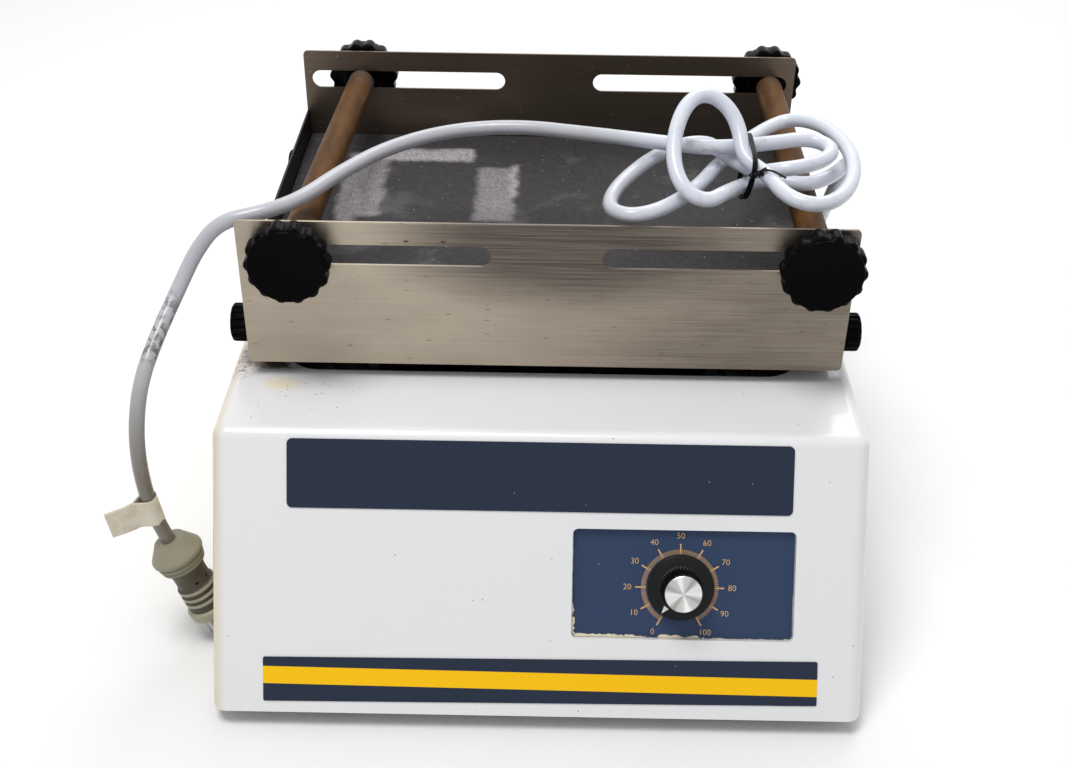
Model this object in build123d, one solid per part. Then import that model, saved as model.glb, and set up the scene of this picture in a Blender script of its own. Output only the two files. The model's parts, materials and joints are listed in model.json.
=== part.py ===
"""Platform shaker: a sloped-front drive housing under an orbiting carrier with two clamp bars.

Millimetres, +Z up. The origin is the middle of the footprint, on the surface it stands on.
"""
from build123d import *
from math import atan2, ceil, copysign, cos, degrees, hypot, radians, sin, tan
import os

os.makedirs("parts", exist_ok=True)

# Housing
housing_x = -1.65
housing_width = 352.8
housing_rear = 194.5
housing_front = -194.5
housing_bottom = 10.0
housing_top = 146.0
bend_y = -121.6
wall = 4.0
shell_round = 8.0
opening_length = 216.0
opening_width = 292.0
opening_round = 20.0
lean = atan2(bend_y - housing_front, housing_top - housing_bottom)
inner_x = housing_width / 2 - wall
screw_x = inner_x - 5.0
screw_places = [(housing_x + side * screw_x, y) for side in (-1, 1) for y in (-150.0, 20.0, 180.0)]
foot_places = [(housing_x + side * 140.0, y) for side in (-1, 1) for y in (-155.0, 165.0)]
pan_thick = 2.5
pan_middle = 2.0
pan_length = 376.0

# Front panel, measured down from the bend and across from the middle of the platform
label_thick = 0.5
upper_label_size = (270.4, 37.4)
upper_label_place = (-1.65, 23.0)
lower_label_size = (299.4, 24.4)
lower_label_place = (0.0, 134.7)
lower_label_skew = 0.45
dial_recess_size = (119.6, 60.0)
dial_recess_place = (76.3, 80.6)
dial_recess_depth = 4.0
recess_back = 8.0
dial_plate_thick = 0.8
speed_knob_place = (75.0, 82.0)

# Orbit and drive
orbit_radius = 9.5
crank_angle = radians(80.0)
platform_x = 0.0
platform_y = 54.5
shaft_x = platform_x - orbit_radius * cos(crank_angle)
shaft_y = platform_y - orbit_radius * sin(crank_angle)
main_shaft_r = 7.5
main_bearing_r = 17.5
main_bearing_wide = 11.0
idler_pin_r = 5.0
idler_bearing_r = 13.0
idler_bearing_wide = 8.0
idler_places = [(-115.0, -75.0), (115.0, -75.0), (0.0, 88.0)]
running_gap = 0.05
deck_low = 86.0
deck_top = 90.0
main_seat_low = 40.0
idler_web_low = 129.0
idler_web_thick = 8.0
web_low = 121.0
web_top = 132.0
hub_low = 150.0
belt_low = 98.0
belt_wide = 12.0
belt_thick = 2.5
driven_pulley_r = 60.0
motor_pulley_r = 18.0
motor_place = (-80.0, -100.0)
motor_r = 42.0

# Carrier: tray, mat, end plates
plate_top = 243.0
plate_height = 88.0
plate_width = 330.0
plate_thick = 1.5
plate_inner = 122.2
plate_round = 3.0
slot_inner = 29.7
slot_outer = 160.0
slot_high = 12.0
bar_drop = 19.4
bar_z = plate_top - bar_drop
mat_top = plate_top - 58.9
mat_thick = 3.0
tray_thick = 2.0
tray_side = 165.2
tray_side_thick = 1.5
tray_rim = plate_top - 42.0
skirt_low = 157.0
nut_z = 166.0
nut_places = (-110.0, 0.0, 110.0)
carriage_thick = 2.5
carriage_gap = 1.5
carriage_half_y = 112.0
carriage_top = mat_top - mat_thick - tray_thick
carriage_low = carriage_top - carriage_thick

# Clamp bars and knobs
bar_rod_r = 6.0
bar_sleeve_r = 8.5
bar_stud_r = 4.0
left_bar_ends = (-136.5, -126.0)
right_bar_ends = (145.5, 147.7)
knob_r = 22.5
knob_face_r = 20.0
knob_grip_deep = 10.9
knob_hub_r = 13.0
knob_lobes = 14
side_knob_r = 11.0
side_knob_long = 10.0
side_knob_y = 103.0
side_knob_z = plate_top - 75.0
side_screw_r = 3.0

# Speed knob, its height above the panel's own surface
skirt_r = 18.0
skirt_thick = 2.2
skirt_low_edge = -1.5
speed_body_r = 11.0
speed_top = 14.2
speed_cap_r = 9.5
speed_flutes = 24
spindle_r = 3.175

# Rear wall
rear_pocket_size = (92.0, 44.0)
rear_pocket_place = (-105.0, 62.0)
rear_pocket_depth = 6.0
switch_place = (-125.0, 62.0)
switch_hole = (27.0, 19.6)
fuse_place = (-80.0, 62.0)
fuse_r = 6.4
gland_place = (110.0, 50.0)
gland_neck_r = 7.0
gland_long = 40.0

# Mains cord
cord_r = 4.2
plug_start = (-210.2, -120.8, 67.8)
plug_axis = (0.352, -0.022, -0.936)
plug_long = 54.0
plug_pits = (13.0, 58.0)
tie_x = 110.3
tie_corners = [(6.0, 265.2), (-31.8, 265.2), (-26.8, 241.3), (-14.0, 233.4), (2.5, 233.4)]
tie_round = 4.0
tie_thick = 0.9
tie_wide = 2.0
tag_place = (-216.4, -121.6, 91.0)
tag_along = (0.106, 0.120, -0.987)
tag_faces = (0.30, -0.68, 0.65)
tag_size = (26.5, 18.6, 0.8)
tag_fold_r = 4.9


def box(x0, x1, y0, y1, z0, z1):
    """A block between two corners."""
    return Pos((x0 + x1) / 2, (y0 + y1) / 2, (z0 + z1) / 2) * Box(x1 - x0, y1 - y0, z1 - z0)


def post(x, y, z0, z1, r):
    """An upright round bar."""
    return Pos(x, y, (z0 + z1) / 2) * Cylinder(r, z1 - z0)


def bar_y(x, z, y0, y1, r):
    """A round bar along Y."""
    return Pos(x, (y0 + y1) / 2, z) * Rot(90, 0, 0) * Cylinder(r, abs(y1 - y0))


def bar_x(y, z, x0, x1, r):
    """A round bar along X."""
    return Pos((x0 + x1) / 2, y, z) * Rot(0, 90, 0) * Cylinder(r, abs(x1 - x0))


def collar(x, y, z0, z1, outer, inner):
    """An upright ring."""
    return post(x, y, z0, z1, outer) - post(x, y, z0 - 1, z1 + 1, inner)


def group(solids):
    """Several separate solids kept in one node."""
    return Compound(children=list(solids))


def save(name, shape, colour):
    """Write one node."""
    shape.label = name
    shape.color = Color(*colour)
    export_step(shape, f"parts/{name}.step")


def panel_plane(across, down, above=0.0):
    """A plane on the sloped panel, X across, Z outwards."""
    up = Vector(0, sin(lean), cos(lean))
    out = Vector(0, -cos(lean), sin(lean))
    at = Vector(across, bend_y, housing_top) - up * down + out * above
    return Plane(origin=at, x_dir=(1, 0, 0), z_dir=out)


def on_panel(place, size, low, high, corner, skew=0.0):
    """A rounded plate lying on the sloped panel between two heights above it."""
    sheet = panel_plane(place[0], place[1], low) * Rot(0, 0, skew) * RectangleRounded(*size, corner)
    return extrude(sheet, amount=high - low, dir=panel_plane(0, 0).z_dir)


def panel_y(z):
    """Where the panel's outer face stands at a height."""
    return housing_front + (z - housing_bottom) * tan(lean)


def housing_block(inset, bottom):
    """The housing's outer form, drawn in by a wall's thickness where wanted."""
    top = housing_top - inset
    rear = housing_rear - inset
    step = inset / cos(lean)
    front = [(panel_y(bottom) + step, bottom), (panel_y(top) + step, top)]
    corners = front + [(rear, top), (rear, bottom)]
    outline = make_face(Plane.YZ * Polyline(*corners, close=True))
    upper = outline.vertices().group_by(Axis.Z)[-1]
    outline = fillet(upper, shell_round - inset)
    half = housing_width / 2 - inset
    block = extrude(Pos(housing_x - half, 0, 0) * outline, amount=2 * half, dir=(1, 0, 0))
    edges = [e for e in block.edges() if abs(abs(e.center().X - housing_x) - half) < 0.01]
    edges = [e for e in edges if e.center().Z > bottom + 1]
    return fillet(edges, shell_round - inset)


def rear_block(place, size, y0, y1):
    """A block through the rear wall."""
    x, z = place
    return box(x - size[0] / 2, x + size[0] / 2, y0, y1, z - size[1] / 2, z + size[1] / 2)


def housing():
    """Sloped-front shell, open below, with its recesses, holes, screw posts and the mouth in its top."""
    low, rear = housing_bottom, housing_rear
    shell = housing_block(0.0, low) - housing_block(wall, low - 5)
    shell += on_panel(dial_recess_place, [s + 8 for s in dial_recess_size], -recess_back, -1.0, 5.0)
    shell += rear_block(rear_pocket_place, [s + 8 for s in rear_pocket_size], rear - 10, rear - 1)
    for x, y in screw_places:
        shell += post(x, y, low + pan_thick, low + 30, 6.0)
    shell -= on_panel(dial_recess_place, dial_recess_size, -dial_recess_depth, 3.0, 3.0)
    shell -= on_panel(speed_knob_place, (10.2, 10.2), -recess_back - 2, 2.0, 5.0)
    shell -= rear_block(rear_pocket_place, rear_pocket_size, rear - rear_pocket_depth, rear + 5)
    shell -= rear_block(switch_place, switch_hole, rear - 15, rear)
    shell -= bar_y(fuse_place[0], fuse_place[1], rear - 15, rear, fuse_r + 0.1)
    shell -= bar_y(gland_place[0], gland_place[1], rear - 15, rear + 5, gland_neck_r + 0.1)
    mouth = RectangleRounded(opening_width, opening_length, opening_round)
    shell -= extrude(Pos(housing_x, shaft_y, housing_top - 12) * mouth, amount=20)
    for x, y in screw_places:
        shell -= post(x, y, low, low + 22, 2.0)
    return shell


def base():
    """Flat bottom plate, its feet, and the screws that hold the housing to it."""
    low = housing_bottom
    sheet = Pos(housing_x, pan_middle, low) * RectangleRounded(2 * inner_x - 1, pan_length, 6)
    plate = extrude(sheet, amount=pan_thick)
    for x, y in screw_places:
        plate -= post(x, y, low - 1, low + 5, 2.2)
    feet = []
    for x, y in foot_places:
        foot = Pos(x, y, 0) * Cone(14.0, 15.5, low, align=(Align.CENTER, Align.CENTER, Align.MIN))
        feet.append(foot + post(x, y, low - 1, low + pan_thick + 4, 3.0))
        plate -= post(x, y, low - 1, low + 5, 3.0)
    screws = []
    for x, y in screw_places:
        screws.append(post(x, y, low - 2.4, low, 4.0) + post(x, y, low - 1, low + 20, 1.95))
    return plate, group(feet), group(screws)


def deck():
    """Level plate that carries the drive, on four posts."""
    plate = box(housing_x - 160, housing_x + 160, -138, 184, deck_low, deck_top)
    plate -= post(shaft_x, shaft_y, deck_low - 1, deck_top + 1, 12.0)
    plate -= post(motor_place[0], motor_place[1], deck_low - 1, deck_top + 1, 9.0)
    posts = []
    for side in (-1, 1):
        for y in (-122.0, 172.0):
            x = housing_x + side * 148
            posts.append(post(x, y, housing_bottom + pan_thick, deck_low, 7.0))
    return plate, group(posts)


def idler_at(place):
    """An idler's own axis."""
    return shaft_x + place[0], shaft_y + place[1]


def pin_at(place):
    """The carriage's side of an idler."""
    return platform_x + place[0], platform_y + place[1]


def main_bearing(x, y, z):
    """One bearing of the main shaft, standing on a height."""
    return collar(x, y, z, z + main_bearing_wide, main_bearing_r, main_shaft_r + running_gap)


def idler_bearing(x, y, z):
    """One bearing of an idler, standing on a height."""
    return collar(x, y, z, z + idler_bearing_wide, idler_bearing_r, idler_pin_r + running_gap)


def bearing_seats():
    """Main bearing housing under the deck, idler posts on it, and all their bearings."""
    low = main_seat_low
    seat = post(shaft_x, shaft_y, low, deck_low, 24.0)
    seat += post(shaft_x, shaft_y, deck_low - 6, deck_low, 36.0)
    seat -= post(shaft_x, shaft_y, low - 1, deck_low + 1, main_bearing_r)
    rings = []
    for z in (low + 2, deck_low - main_bearing_wide - 1):
        rings.append(main_bearing(shaft_x, shaft_y, z))
    posts = []
    for place in idler_places:
        x, y = idler_at(place)
        posts.append(collar(x, y, deck_top, idler_web_low - 3, 18.0, idler_bearing_r))
        for z in (deck_top + 1, idler_web_low - 4 - idler_bearing_wide):
            rings.append(idler_bearing(x, y, z))
    return seat, group(posts), group(rings)


def crank():
    """Main shaft, driven pulley, counterweight and the web with its eccentric pin."""
    shaft = post(shaft_x, shaft_y, main_seat_low + 1, web_low, main_shaft_r)
    pulley_top = belt_low + belt_wide
    pulley = post(shaft_x, shaft_y, belt_low, pulley_top, driven_pulley_r)
    pulley -= collar(shaft_x, shaft_y, belt_low + 4, pulley_top + 1, driven_pulley_r - 8, 18.0)
    pulley += post(shaft_x, shaft_y, deck_top + 3, pulley_top, 14.0)
    for turn in range(5):
        a = radians(72 * turn)
        pulley -= post(shaft_x + 35 * cos(a), shaft_y + 35 * sin(a), belt_low - 1, pulley_top, 9.0)
    pulley -= post(shaft_x, shaft_y, deck_top, pulley_top + 1, main_shaft_r)
    weight_low = web_low - 9
    disc = post(shaft_x, shaft_y, weight_low, web_low, 62.0)
    far = Pos(shaft_x, shaft_y, weight_low + 4.5) * Rot(0, 0, degrees(crank_angle)) * Pos(50, 0, 0)
    disc -= far * Box(100, 140, 12)
    weight = disc + post(shaft_x, shaft_y, weight_low, web_low, 18.0)
    weight -= post(shaft_x, shaft_y, weight_low - 1, web_low + 1, main_shaft_r)
    web = crank_arm(shaft_x, shaft_y, platform_x, platform_y, web_low, web_top, 18.0)
    web += post(platform_x, platform_y, web_top - 1, carriage_low - 2, main_shaft_r)
    return shaft, pulley, weight, web


def crank_arm(x0, y0, x1, y1, z0, z1, r):
    """A round-ended arm between two axes."""
    arm = post(x0, y0, z0, z1, r) + post(x1, y1, z0, z1, r)
    mid = Pos((x0 + x1) / 2, (y0 + y1) / 2, (z0 + z1) / 2)
    turn = Rot(0, 0, degrees(atan2(y1 - y0, x1 - x0)))
    return arm + mid * turn * Box(hypot(x1 - x0, y1 - y0), 2 * r, z1 - z0)


def idler(place):
    """Small crank that keeps the platform square."""
    x, y = idler_at(place)
    u, v = pin_at(place)
    top = idler_web_low + idler_web_thick
    arm = crank_arm(x, y, u, v, idler_web_low, top, 9.0)
    arm += post(x, y, deck_top + 1, idler_web_low + 1, idler_pin_r)
    return arm + post(u, v, top - 1, carriage_low - 3, idler_pin_r)


def motor():
    """Motor hung under the deck, with its shaft and small pulley."""
    x, y = motor_place
    body = post(x, y, 18.0, deck_low, motor_r) - post(x, y, 17, 24, motor_r - 6)
    body += post(x, y, 18, 26, 16)
    for turn in range(12):
        a = radians(30 * turn)
        body -= post(x + (motor_r + 1) * cos(a), y + (motor_r + 1) * sin(a), 30, 74, 2.5)
    body += post(x, y, deck_low, deck_top + 2, 8.5)
    body -= post(x, y, 60, deck_top + 3, 4.0 + running_gap)
    pulley = post(x, y, belt_low, belt_low + belt_wide, motor_pulley_r)
    pulley += post(x, y, belt_low - 5, belt_low, 9) + post(x, y, 62, belt_low + 1, 4.0)
    return body, pulley


def belt_outline(extra):
    """Closed outline of a belt that lies on both pulleys."""
    x, y = motor_place
    dx, dy = shaft_x - x, shaft_y - y
    far = hypot(dx, dy)
    swing = atan2(dy, dx)
    step = driven_pulley_r - motor_pulley_r
    tilt = atan2(step, (far ** 2 - step ** 2) ** 0.5)
    small = motor_pulley_r + extra
    large = driven_pulley_r + extra

    def rim(cx, cy, r, angle):
        return (cx + r * cos(angle), cy + r * sin(angle))

    up = swing + radians(90) + tilt
    down = swing - radians(90) - tilt
    small_up, small_down = rim(x, y, small, up), rim(x, y, small, down)
    large_up, large_down = rim(shaft_x, shaft_y, large, up), rim(shaft_x, shaft_y, large, down)
    lines = Line(small_up, large_up)
    lines += ThreePointArc(large_up, rim(shaft_x, shaft_y, large, swing), large_down)
    lines += Line(large_down, small_down)
    lines += ThreePointArc(small_down, rim(x, y, small, swing + radians(180)), small_up)
    return make_face(lines)


def belt():
    """Flat belt round both pulleys."""
    ring = belt_outline(running_gap + belt_thick) - belt_outline(running_gap)
    return extrude(Pos(0, 0, belt_low + 1) * ring, amount=belt_wide - 2)


def controls():
    """Speed board on stand-offs behind the dial."""
    x0, x1, y0, y1, z = 26.0, 134.0, -150.0, -68.0, 24.0
    board = box(x0, x1, y0, y1, z, z + 1.6)
    low = housing_bottom + pan_thick
    for x in (x0 + 6, x1 - 6):
        for y in (y0 + 6, y1 - 6):
            board += post(x, y, low, z + 0.5, 3.0)
    top = z + 1.6
    blocks = [(86, 122, -112, -80, 34), (38, 60, -100, -80, 18), (70, 76, -112, -80, 26),
              (82, 98, -138, -128, 14), (104, 122, -140, -130, 12)]
    cans = [(44, -122, 8, 26), (64, -134, 6.5, 20)]
    pieces = [box(xa, xb, ya, yb, top, top + high) for xa, xb, ya, yb, high in blocks]
    pieces += [post(x, y, top, top + high, r) for x, y, r, high in cans]
    return board, group(pieces)


def panel_post(place, low, high, r):
    """A round piece square to the panel."""
    flat = panel_plane(place[0], place[1], low)
    return flat * Cylinder(r, high - low, align=(Align.CENTER, Align.CENTER, Align.MIN))


def dial():
    """Potentiometer, dial plate and the knob on its spindle."""
    at = speed_knob_place
    pot = panel_post(at, -recess_back - 12, -recess_back, 12.0)
    pot += panel_post(at, -recess_back - 1, skirt_low_edge - 0.3, 4.75)
    pot -= panel_post(at, -recess_back - 13, 5, spindle_r + running_gap)
    size = [s - 0.6 for s in dial_recess_size]
    face = dial_plate_thick - dial_recess_depth
    plate = on_panel(dial_recess_place, size, -dial_recess_depth, face, 2.7)
    plate -= panel_post(at, -dial_recess_depth - 1, 1, 4.9)
    spindle = panel_post(at, -recess_back - 11.5, 7.0, spindle_r)
    flat = panel_plane(at[0], at[1], skirt_low_edge)
    stem = (Align.CENTER, Align.CENTER, Align.MIN)
    knob = flat * Cone(skirt_r, skirt_r - 1.2, skirt_thick, align=stem)
    knob += flat * Cone(speed_body_r, speed_body_r - 0.8, speed_top - skirt_low_edge, align=stem)
    for turn in range(speed_flutes):
        spoke = flat * Rot(0, 0, turn * 360 / speed_flutes)
        groove = spoke * Pos(speed_body_r + 0.45, 0, skirt_thick + 0.6)
        knob -= groove * Cylinder(1.0, 30, align=stem)
    knob -= panel_post(at, skirt_low_edge - 1, 7.2, spindle_r)
    knob -= panel_post(at, speed_top - 1.0, speed_top + 1, speed_cap_r)
    cap = panel_post(at, speed_top - 1.0, speed_top + 0.2, speed_cap_r)
    return pot, plate, spindle, knob, cap


def rear_fittings():
    """Power switch and fuse in the rear pocket."""
    floor = housing_rear - rear_pocket_depth
    x, z = switch_place
    bezel = rear_block(switch_place, (31, 24), floor, floor + 2)
    bezel += rear_block(switch_place, switch_hole, floor - 16, floor + 1)
    bezel -= rear_block(switch_place, (19, 13.6), floor - 9, floor + 3)
    rocker = Pos(x, floor - 2.5, z) * Rot(0, 90, 0) * Cylinder(6.2, 18.2)
    rocker &= rear_block(switch_place, (30, 30), floor - 8, floor + 4)
    x, z = fuse_place
    fuse = bar_y(x, z, floor - 22, floor, fuse_r) + bar_y(x, z, floor, floor + 4.5, 9.0)
    fuse -= box(x - 6, x + 6, floor + 3.2, floor + 6, z - 0.8, z + 0.8)
    return bezel, rocker, fuse


def end_plate(side):
    """Slotted stainless end plate, side -1 in front and +1 behind."""
    y = platform_y + side * plate_inner
    mid_z = plate_top - plate_height / 2
    sheet = RectangleRounded(plate_width, plate_height, plate_round)
    slot_mid = (slot_inner + slot_outer) / 2
    for hand in (-1, 1):
        sheet -= Pos(hand * slot_mid, bar_z - mid_z) * SlotOverall(slot_outer - slot_inner, slot_high)
    if side > 0:
        y += plate_thick
    upright = Plane(origin=(platform_x, y, mid_z), x_dir=(1, 0, 0), z_dir=(0, -1, 0))
    return extrude(upright * sheet, amount=plate_thick)


def tray():
    """Black tray with upright side walls, its end flanges, mat and flange nuts."""
    floor_top = mat_top - mat_thick
    y0, y1 = platform_y - plate_inner, platform_y + plate_inner
    pan = box(-tray_side, tray_side, y0, y1, carriage_top, floor_top)
    for side in (-1, 1):
        inner, outer = sorted((side * (tray_side - tray_side_thick), side * tray_side))
        pan += box(inner, outer, y0, y1, skirt_low, tray_rim)
        for y in (-side_knob_y, side_knob_y):
            pan -= bar_x(platform_y + y, side_knob_z, inner - 1, outer + 1, side_screw_r + 0.3)
    for y, back in ((y0, y0 + tray_side_thick), (y1 - tray_side_thick, y1)):
        pan += box(-tray_side, tray_side, y, back, skirt_low, carriage_top + 1)
    inside = tray_side - tray_side_thick - 0.3
    mat = box(-inside, inside, y0 + 0.4, y1 - 0.4, floor_top, mat_top)
    nuts = []
    for x in nut_places:
        for side in (-1, 1):
            flange = platform_y + side * (plate_inner - tray_side_thick)
            at = Plane(origin=(x, flange, nut_z), x_dir=(1, 0, 0), z_dir=(0, -side, 0))
            nuts.append(extrude(at * RegularPolygon(4.6, 6), amount=4))
    return pan, mat, group(nuts)


def carriage():
    """Orbiting carriage under the tray, with its bearing hubs and bearings."""
    half_x = tray_side - tray_side_thick - carriage_gap
    y0, y1 = platform_y - carriage_half_y, platform_y + carriage_half_y
    frame = box(-half_x, half_x, y0, y1, carriage_low, carriage_top)
    low, top = skirt_low + 1, carriage_low + 1
    for side in (-1, 1):
        inner, outer = sorted((side * (half_x - 2), side * half_x))
        frame += box(inner, outer, y0, y1, low, top)
        seat_in, seat_out = sorted((side * (half_x - 12), side * half_x))
        for y in (platform_y - side_knob_y, platform_y + side_knob_y):
            frame += bar_x(y, side_knob_z, seat_in, seat_out, 7.0)
            frame -= bar_x(y, side_knob_z, seat_in - 1, seat_out + 1, side_screw_r + running_gap)
    frame += box(-half_x, half_x, y0, y0 + 2, low, top) + box(-half_x, half_x, y1 - 2, y1, low, top)
    x, y = platform_x, platform_y
    hub = collar(x, y, hub_low, carriage_low, 25.0, main_bearing_r)
    hub += collar(x, y, carriage_low - 5, carriage_low, 40.0, main_bearing_r)
    hubs = [hub]
    rings = [main_bearing(x, y, z) for z in (hub_low + 1, hub_low + 2 + main_bearing_wide)]
    for place in idler_places:
        u, v = pin_at(place)
        hubs.append(collar(u, v, carriage_low - 18, carriage_low, 18.0, idler_bearing_r))
        rings.append(idler_bearing(u, v, carriage_low - 16))
    return frame, group(hubs), group(rings)


def clamp_bar(ends):
    """Rod with a stud at each end, and its rubber sleeve, between a front and a rear X."""
    front, rear = ends
    reach = plate_inner - 0.4
    skew = degrees(atan2(rear - front, 2 * plate_inner))
    along = Pos((front + rear) / 2, platform_y, bar_z) * Rot(0, 0, -skew) * Rot(90, 0, 0)
    long = 2 * reach / cos(radians(skew)) - 0.4
    rod = along * Cylinder(bar_rod_r, long)
    sleeve = along * Cylinder(bar_sleeve_r, long - 10)
    sleeve -= along * Cylinder(bar_rod_r, long)
    stud_end = plate_inner + plate_thick + 8.0
    rod += bar_y(front, bar_z, platform_y - stud_end, platform_y - reach + 4, bar_stud_r)
    rod += bar_y(rear, bar_z, platform_y + reach - 4, platform_y + stud_end, bar_stud_r)
    return rod, sleeve


def clamp_knob(x, side):
    """Lobed knob on a bar's stud, side -1 in front and +1 behind."""
    stem = (Align.CENTER, Align.CENTER, Align.MIN)
    knob = Cylinder(knob_hub_r, 4.0, align=stem)
    knob += Pos(0, 0, 3.0) * Cylinder(knob_r - 0.6, 1.6, align=stem)
    grip = Pos(0, 0, 4.6) * Cylinder(knob_r, knob_grip_deep, align=stem)
    grip = chamfer(grip.edges().group_by(Axis.Z)[-1], 3.0, knob_r - knob_face_r)
    for turn in range(knob_lobes):
        scallop = Rot(0, 0, (turn + 0.5) * 360 / knob_lobes) * Pos(knob_r + 2.3, 0, 4.6)
        grip -= scallop * Cylinder(4.2, knob_grip_deep + 1.0, align=stem)
    knob += grip
    knob -= Cylinder(bar_stud_r + running_gap, 8.4, align=stem)
    seat = platform_y + side * (plate_inner + plate_thick + 0.3)
    return Plane(origin=(x, seat, bar_z), x_dir=(1, 0, 0), z_dir=(0, side, 0)) * knob


def side_knob(side, end):
    """Ribbed thumb screw that holds the tray on the carriage, on one side, at one end."""
    stem = (Align.CENTER, Align.CENTER, Align.MIN)
    knob = Cylinder(side_knob_r, side_knob_long, align=stem)
    knob = chamfer(knob.edges().group_by(Axis.Z)[-1], 1.2)
    for turn in range(16):
        knob -= Rot(0, 0, turn * 22.5) * Pos(side_knob_r + 0.6, 0, -1) * Cylinder(1.4, 14, align=stem)
    knob += Pos(0, 0, -14.0) * Cylinder(side_screw_r, 15, align=stem)
    at = (side * (tray_side + 1.6), platform_y + end * side_knob_y, side_knob_z)
    return Plane(origin=at, x_dir=(0, 1, 0), z_dir=(side, 0, 0)) * knob


def loop_points(centre, half_wide, half_long, turn, angles, tilt, climb, steps, blunt):
    """One loop of the hank, as points along part of a tilted, blunt-ended ellipse.

    turn swings the ellipse about its centre, angles is where the loop starts and ends on it, tilt
    is its slope along X and Y, and climb the height that it gains besides.
    """
    points = []
    for k in range(steps):
        share = k / (steps - 1)
        a = radians(angles[0] + (angles[1] - angles[0]) * share)
        u = half_wide * copysign(abs(cos(a)) ** blunt, cos(a))
        v = half_long * copysign(abs(sin(a)) ** blunt, sin(a))
        dx = u * cos(radians(turn)) - v * sin(radians(turn))
        dy = u * sin(radians(turn)) + v * cos(radians(turn))
        rise = tilt[0] * dx + tilt[1] * dy + climb * (share - 0.5)
        points.append((centre[0] + dx, centre[1] + dy, centre[2] + rise))
    return points


# The cord from the plug over the left bar to the hank, then down the right side to the rear wall.
# The hank's strand goes round a small loop on the right, a long one on the left, a wide one on the
# right and an upright one on the left, crossing its own waist between them.
plug_exit = tuple(at - 18.0 * along for at, along in zip(plug_start, plug_axis))
plug_run = [plug_start, plug_exit, (-217.8, -125.9, 119.2), (-216.6, -123.7, 147.7),
            (-213.0, -113.0, 171.0), (-207.0, -91.0, 186.0), (-199.0, -69.0, 201.0),
            (-189.0, -59.5, 220.0), (-174.5, -59.0, 237.2), (-152.0, -55.5, 240.8),
            (-134.0, -41.5, 241.8), (-116.0, -10.0, 243.5), (-92.0, 21.5, 245.0), (-58.0, 41.5, 247.0),
            (-18.0, 42.5, 250.0), (24.0, 24.0, 253.8), (60.0, 4.0, 258.6), (90.0, -11.0, 261.6)]
small_right = loop_points((136.3, -5.2, 256.8), 14.9, 23.6, -60.0, (182, -40), (0.0, 0.015), -1.5, 8, 0.89)
long_left = loop_points((63.7, -19.6, 247.2), 20.2, 47.1, -31.0, (52, 392), (0.136, -0.053), -7.4, 13, 0.88)
wide_right = loop_points((140.8, 6.8, 248.2), 30.9, 67.8, -1.6, (104.5, -117.5), (0.111, 0.055), 22, 9, 1.04)
upright_left = loop_points((86.3, -25.0, 267.8), 18.5, 30.1, -15.4, (19.5, 318), (-0.3, 0.76), 12.6, 12, 0.92)
hank_points = small_right + [(114.0, -12.8, 248.2)] + long_left
hank_points += [(103.5, 31.5, 236.3), (113.0, 38.0, 242.4)] + wide_right
hank_points += [(119.0, -28.6, 255.4)] + upright_left
hank_points += [(114.7, -0.4, 236.6), (128.5, 1.7, 237.6)]
lead_run = [(145.6, -4.3, 237.2), (161.0, 7.0, 237.0), (172.5, 24.0, 237.2), (181.0, 42.0, 232.0),
            (183.0, 64.0, 216.0), (182.0, 86.0, 194.0), (182.0, 106.0, 167.0), (183.0, 128.0, 140.0),
            (185.0, 148.0, 110.0), (188.0, 166.0, 79.0), (192.0, 184.0, 49.0), (196.0, 206.0, 24.5),
            (196.0, 234.0, 8.6), (184.0, 260.0, 5.2), (162.0, 273.0, 8.0), (139.0, 277.0, 18.5),
            (121.0, 273.0, 34.0), (gland_place[0], 257.0, gland_place[1]),
            (gland_place[0], housing_rear + gland_long, gland_place[1])]


def bend_radii(points):
    """As large a radius at each corner as its two runs allow."""
    radii = []
    for a, b, c in zip(points, points[1:], points[2:]):
        before, after = Vector(*b) - Vector(*a), Vector(*c) - Vector(*b)
        turn = radians(before.get_angle(after))
        radii.append(0.45 * min(before.length, after.length) / tan(turn / 2))
    return radii


def cord():
    """The whole cord as three tubes on one line: plug run, hank and lead."""
    points = plug_run + hank_points + lead_run
    radii = bend_radii(points)
    print("cord radii", " ".join(f"{r:.0f}" for r in radii))
    edges = FilletPolyline(*points, radius=radii).edges()
    chain = order_edges(edges, Vector(*points[0]))
    first = 2 * (len(plug_run) - 1) + 1
    last = 2 * (len(plug_run) + len(hank_points) - 1) + 1
    stretches = {"plug run": chain[:first], "hank": chain[first:last], "lead": chain[last:]}
    tubes = []
    for name, stretch in stretches.items():
        wire = Wire(stretch)
        ring = Plane(origin=wire @ 0, z_dir=wire % 0) * Circle(cord_r)
        tube = sweep(ring, path=wire)
        full = ring.area * wire.length
        print(f"{name} length {wire.length:.1f} volume {tube.volume:.0f} of {full:.0f}")
        tubes.append(tube)
    line = Wire(chain)
    print(f"cord length {line.length:.1f} least gap to itself {least_gap(line):.2f}")
    return tubes


def order_edges(edges, start):
    """Edges in order along the line from its start, each in its running direction."""
    chain = []
    left = list(edges)
    at = start
    while left:
        nearest = min(left, key=lambda e: min((e @ 0 - at).length, (e @ 1 - at).length))
        left.remove(nearest)
        if (nearest @ 1 - at).length < (nearest @ 0 - at).length:
            nearest = nearest.reversed()
        chain.append(nearest)
        at = nearest @ 1
    return chain


def least_gap(line):
    """Smallest gap between two stretches of the cord that aren't neighbours."""
    count = ceil(line.length / 2.0)
    step = line.length / count
    points = [line @ (k / count) for k in range(count + 1)]
    apart = ceil(8 * cord_r / step)
    pairs = [(a, b) for i, a in enumerate(points) for b in points[i + apart:]]
    return min((a - b).length for a, b in pairs) - 2 * cord_r


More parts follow.
